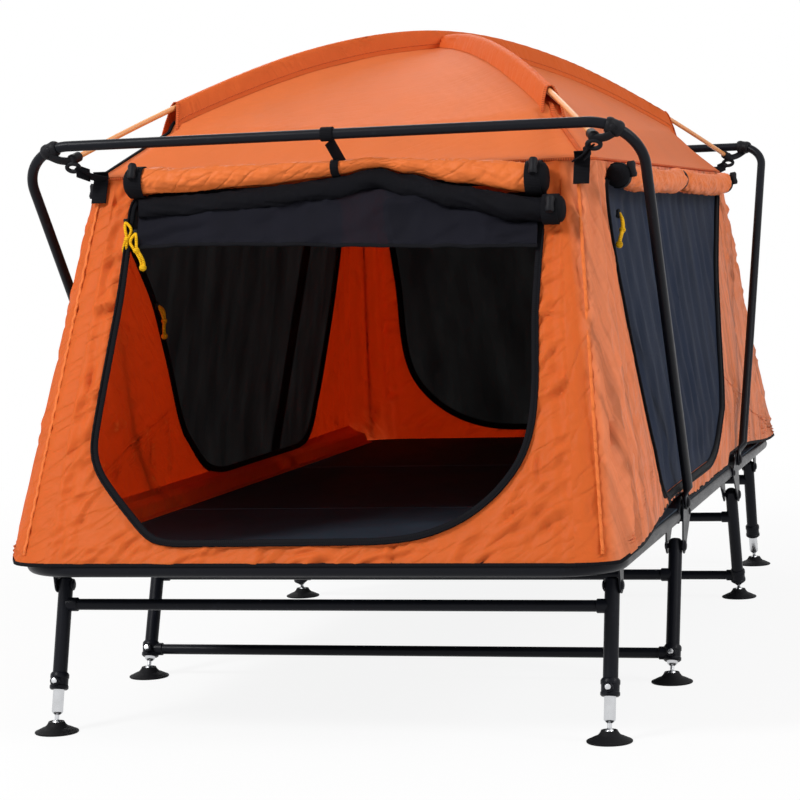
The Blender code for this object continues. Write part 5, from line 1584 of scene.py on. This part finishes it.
def tent():
    ends, sides = end_border(), side_border()
    middle, side_middle = (0, 0.53), (-0.15, 0.55)
    wall_cloth("front_wall", FRONT, DOOR_OPENING, ends, 34, middle, 0.0028, 1.3, end_waves, 420, 0.65)
    wall_cloth("rear_wall", REAR, END_OPENING, ends, 28, middle, 0.0022, 7.9, end_waves, 260, 0.65)
    wall_cloth("right_wall", RIGHT, SIDE_OPENING, sides, 34, side_middle, 0.0030, 4.1, side_waves, 520, 1.25,
               "side_orange_painted_light")
    wall_cloth("left_wall", LEFT, SIDE_OPENING, sides, 34, side_middle, 0.0028, 6.6, side_waves, 360, 1.25)
    roof_cloth()
    pole_sleeve("upper_sleeve", 1)
    pole_sleeve("lower_sleeve", -1)
    roof_corner_binding()
    eave_seam()
    corner_seams()
    hem_binding()
    draught_skirt()
    net_panel("right_door_net", RIGHT, SIDE_OPENING, "door_net", "right_door_mesh", door_fold,
              44, 0.007)
    for name, wall, opening in (("left_window", LEFT, SIDE_OPENING), ("rear_window", REAR, END_OPENING)):
        net_panel(f"{name}_net", wall, opening, "window_net", f"{name}_mesh", window_slack)
    opening_binding("front_door_binding", FRONT, DOOR_OPENING, 0.0045, 0.011)
    for name, wall, opening in (("rear_window", REAR, END_OPENING), ("right_door", RIGHT, SIDE_OPENING),
                                ("left_window", LEFT, SIDE_OPENING)):
        opening_binding(f"{name}_binding", wall, opening, 0.0085)


def along_curve(points):
    """A smooth function through (place, value) points."""
    places, values = np.array(points).T

    def value(x):
        i = int(np.clip(np.searchsorted(places, x) - 1, 0, len(places) - 2))
        return mix(values[i], values[i + 1], ease(places[i], places[i + 1], x))
    return value


# Rise for each metre up the leaning front wall
FRONT_UP = (EAVE_Z - HEM_Z) / FRONT_LEAN
FLAP_SEAT_Z, SIDE_SEAT_Z, NET_SEAT_Z = 0.811, 0.798, 0.7605
FLAP_TOP = along_curve(((-0.33, 0.828), (0.0, 0.829), (0.07, 0.831), (0.20, 0.823), (0.33, 0.811)))
FLAP_LOW = along_curve(((-0.33, 0.789), (-0.20, 0.793), (-0.10, 0.799), (0.0, 0.8085), (0.070, 0.820),
                        (0.12, 0.808), (0.20, 0.789), (0.30, 0.771), (0.33, 0.769)))


def front_flap_form(x):
    """The front door's flap: full at its ends, pulled up to a peak beside the middle strap."""
    top, low = FLAP_TOP(x), FLAP_LOW(x)
    wide = max((top - low) / 2, 0.007)
    thick = mix(0.010, 0.0195, min(wide / 0.020, 1.0))
    return ((top + low) / 2 - FLAP_SEAT_Z) / FRONT_UP, wide / FRONT_UP, thick


def net_roll_form(x):
    """The front door's net: rolled tight to the right, loose to the left, up under the flap's peak."""
    centre = FLAP_LOW(min(x, 0.33)) - mix(0.0155, 0.023, ease(0.1, 0.33, x))
    wide = mix(0.0175, 0.0195, ease(0.1, 0.34, x))
    thick = mix(0.0085, 0.0165, ease(0.05, 0.33, x))
    return (centre - NET_SEAT_Z) / FRONT_UP, wide, thick


def net_band():
    """The loose lower part of the rolled front net: a band that hangs in soft drapes."""
    across, down = 110, 16
    rows, uvs = [], []
    for k in range(down + 1):
        share = k / down
        row = []
        for x in np.linspace(-0.298, 0.318, across):
            top = FLAP_LOW(x) - 0.016
            low = mix(0.7165, 0.6985, ease(-0.25, 0.33, x)) + 0.0015 * ripple(x * 30, 0, 1)
            drape = ripple(x * 16 + share * 3.2, share * 1.2, 6)
            fine = 1 - 2.6 * abs(ripple(x * 30 + share * 4, share * 3 - x * 9, 2))
            row.append(FRONT.at(x, mix(top, low, share), 0.0078 + 0.0058 * drape + 0.0024 * fine))
        rows.append(row)
        uvs.append([(x, share * 0.08) for x in np.linspace(0, 0.616, across)])
    shape = Shape()
    shape.grid(rows, uvs, flip=True)
    flat = shape.area()
    shape.thicken(0.0008)
    piece = make_tent("front_net_band", shape, "hanging_net")
    hem = Shape()
    hem.carry(rows[-1], strap_section(0.006, 0.0026), tuple(FRONT_OUT))
    make_tent("front_net_hem", hem, "black_tape")


def rolled_flaps():
    straps, toggles, cords = Shape(), Shape(), Shape()
    seat = seat_on(FRONT, FLAP_SEAT_Z)
    rolled_flap("front_door_flap", "front_door_roll", seat, (-0.312, 0.322), front_flap_form,
                lumps=1.9, steps=150, sides=36)
    end_tie(straps, toggles, seat, -0.300, front_flap_form, -1)
    end_tie(straps, toggles, seat, 0.312, front_flap_form, 1)
    strap_round(straps, seat, 0.010, front_flap_form, 0.013, 1.10)
    form = even_roll(0.0200, 0.0185, (-0.285, 0.0, 0.285), 0.004)
    seat = seat_on(REAR, FLAP_SEAT_Z)
    rolled_flap("rear_window_flap", "rear_window_roll", seat, (-0.315, 0.315), form, seed=3.0)
    for _, side in SIDES:
        end_tie(straps, toggles, seat, side * 0.300, form, side)
    strap_round(straps, seat, 0.0, form)
    form = even_roll(0.0200, 0.0185, (-0.62, 0.0, 0.62), 0.006)
    for wall, name, seed in ((RIGHT, "right_door", 5.0), (LEFT, "left_window", 9.0)):
        seat = seat_on(wall, SIDE_SEAT_Z)
        rolled_flap(f"{name}_flap", f"{name}_roll", seat, (-0.635, 0.635), form,
                    lumps=2.4, seed=seed, steps=220, sides=34)
        for _, side in SIDES:
            end_tie(straps, toggles, seat, side * 0.622, form, side)
        strap_round(straps, seat, 0.0, form, 0.016)
    seat = seat_on(FRONT, NET_SEAT_Z)
    rolled_flap("front_net_roll", "front_door_mesh", seat, (-0.300, 0.345), net_roll_form,
                turns=5.0, lumps=2.2, seed=12.0, steps=150, sides=34, finish="rolled_net")
    end_tie(straps, toggles, seat, 0.338, net_roll_form, 1, -0.008)
    net_band()
    for at, z, aim, wave in ((-0.3165, 0.752, 0.05, 1.0), (-0.2985, 0.735, 0.12, -1.0)):
        zip_pull(toggles, cords, FRONT.at(at, z, 0.006), (aim, 0, -1), FRONT.way_out(at, z), wave)
    zip_pull(toggles, cords, RIGHT.at(-0.640, 0.742, 0.004), (0, -0.5, -1), RIGHT.way_out(-0.64, 0.742))
    inner = -LEFT.way_out(-0.43, 0.62)
    zip_pull(toggles, cords, LEFT.at(0.43, 0.622, -0.010), (0, 0.4, -1), inner)
    make_tent("roll_straps", straps, "black_tape")
    make_tent("roll_toggles", toggles, "black_nylon", outward=True)
    make_tent("zip_pull_cords", cords, "yellow_cord", outward=True)


BUCKLE = [(-0.0105, -0.0095), (0.0105, -0.0095), (0.0105, 0.0095), (-0.0105, 0.0095)]
# Places of the tabs along the end walls; a known fault: the rear left one is at the right
CORNER_TAB_X = {("front", "left"): -0.368, ("front", "right"): 0.377,
                ("rear", "left"): 0.377, ("rear", "right"): 0.370}
BAR_LOOP_R = 0.0098


def corner_strap(shape, wall, end, side, x):
    """A webbing tab at the eave, and a strap with a buckle out to the hoop's clamp."""
    low, high = wall.at(x, 0.787, 0.0024), wall.at(x, 0.826, 0.0030)
    shape.carry(curve_through([low, mix(low, high, 0.5), high, high + (0, end * 0.003, 0.008)], 6),
                strap_section(0.024, 0.0022), (0, end, 0.30))
    tip, _ = pole_tip(end, side)
    eye = tip + (-side * 0.003, end * 0.001, -0.014)
    start = high + (-side * 0.009, end * 0.0035, -0.004)
    way = eye - start
    middle = mix(start, eye, 0.5) + (0, end * 0.002, -0.003)
    shape.carry(curve_through([start, middle, eye], 10), strap_section(0.0165, 0.0028),
                (way[1], -way[0], 0.1))
    buckle = mix(start, eye, 0.72) + (0, end * 0.002, -0.002)
    shape.plate(BUCKLE, -0.0032, 0.0032,
                lambda a, b, depth: tuple(buckle + unit(way) * a + (0, end * depth, b)))


def bar_loop(shape, name, wall, end):
    """A webbing loop round a hoop's top bar, and the strap from it down to the eave."""
    bar = np.array([0, end * HOOP_TOP_Y, HOOP_TOP_Z])
    x, foot_x = (0.006, 0.019) if end < 0 else (0.0, 0.0)
    ring = np.array([bar + (x, end * BAR_LOOP_R * cos(turn), BAR_LOOP_R * sin(turn))
                     for turn in np.linspace(1.30 * pi, -0.62 * pi, 22)])
    loop = Shape()
    loop.carry(ring, strap_section(0.019, 0.0018), unit(ring - bar) * (0, 1, 1))
    make(f"{name}_bar_loop", loop, "black_tape", f"{name}_hoop_body", crease=60)
    foot = wall.at(foot_x, EAVE_Z - 0.001, 0.0045)
    top = bar + (mix(x, foot_x, 0.1), -end * 0.004, -0.0105)
    shape.carry([top, mix(top, foot, 0.34), mix(top, foot, 0.67), foot], strap_section(0.018, 0.0018),
                (0, end, 0.8))


def corner_straps():
    """The webbing that holds the tent to the clamps and to the hoops' top bars."""
    shape = Shape()
    for (name, end), wall in zip(ENDS, (FRONT, REAR)):
        for side_name, side in SIDES:
            corner_strap(shape, wall, end, side, CORNER_TAB_X[name, side_name])
        bar_loop(shape, name, wall, end)
    make_tent("corner_straps", shape, "black_tape", crease=60)


# Studio

SKY_LIGHT = 0.42
# Name, place, size and power
LAMPS = (("key", (-2.8, -3.6, 4.0), 1.3, 200), ("side", (4.4, -1.4, 3.2), 1.5, 95),
         ("back", (-1.5, 4.5, 3.6), 2.4, 55))
CAMERA_PLACE, SENSOR, LENS = (1.0264, -4.3064, 0.7298), 36.0, 111.456
YAW, PITCH, ROLL = radians(14.7283), radians(3.913), radians(-2.0969)


def studio():
    floor_mesh = bpy.data.meshes.new("floor")
    floor_mesh.from_pydata([(-40, -40, 0), (40, -40, 0), (40, 60, 0), (-40, 60, 0)], [], [(0, 1, 2, 3)])
    floor = bpy.data.objects.new("floor", floor_mesh)
    bpy.context.collection.objects.link(floor)
    paper = Finish("pale_floor", (0.90, 0.90, 0.90), 0.9, Specular_IOR_Level=0.2)
    glow = paper.node("ShaderNodeEmission", None, {"Color": (1.0, 1.0, 1.0), "Strength": 1.0})
    away = paper.node("ShaderNodeVectorMath", {"operation": "LENGTH"}, {0: paper.place("Object")}, output=1)
    far = ((away - 1.2) * 0.5).share()
    white = paper.in_view() * (far * 0.11 + 0.89)
    paper.cover(white, glow)
    floor_mesh.materials.append(paper.material)

    world = bpy.data.worlds.new("studio")
    bpy.context.scene.world = world
    world.use_nodes = True
    sky = Nodes(world.node_tree)
    dome = sky.tree.nodes["Background"]
    sky.plug(dome.inputs["Color"], (1.0, 1.0, 1.0))
    sky.plug(dome.inputs["Strength"], sky.in_view() * (1.0 - SKY_LIGHT) + SKY_LIGHT)

    for name, place, size, power in LAMPS:
        lamp = bpy.data.lights.new(name, "AREA")
        lamp.size, lamp.energy = size, power
        holder = bpy.data.objects.new(name, lamp)
        holder.location = place
        aim = Vector((0, 0, 0.6)) - Vector(place)
        holder.rotation_euler = aim.to_track_quat("-Z", "Y").to_euler()
        bpy.context.collection.objects.link(holder)


def camera():
    """The camera that took the photograph, as fitted to it."""
    ahead = Vector((-sin(YAW) * cos(PITCH), cos(YAW) * cos(PITCH), -sin(PITCH)))
    right = Vector((cos(YAW), sin(YAW), 0))
    up = right.cross(ahead)
    across = right * cos(ROLL) + up * sin(ROLL)
    above = up * cos(ROLL) - right * sin(ROLL)
    lens = bpy.data.cameras.new("camera")
    lens.sensor_width, lens.lens = SENSOR, LENS
    lens.clip_start, lens.clip_end = 0.05, 200.0
    holder = bpy.data.objects.new("camera", lens)
    holder.matrix_world = Matrix((across, above, -ahead)).transposed().to_4x4()
    holder.location = CAMERA_PLACE
    bpy.context.collection.objects.link(holder)
    bpy.context.scene.camera = holder


bpy.context.scene.view_settings.view_transform = "Standard"
camera()
studio()
bed()
hoops_and_poles()
tent()
rolled_flaps()
corner_straps()
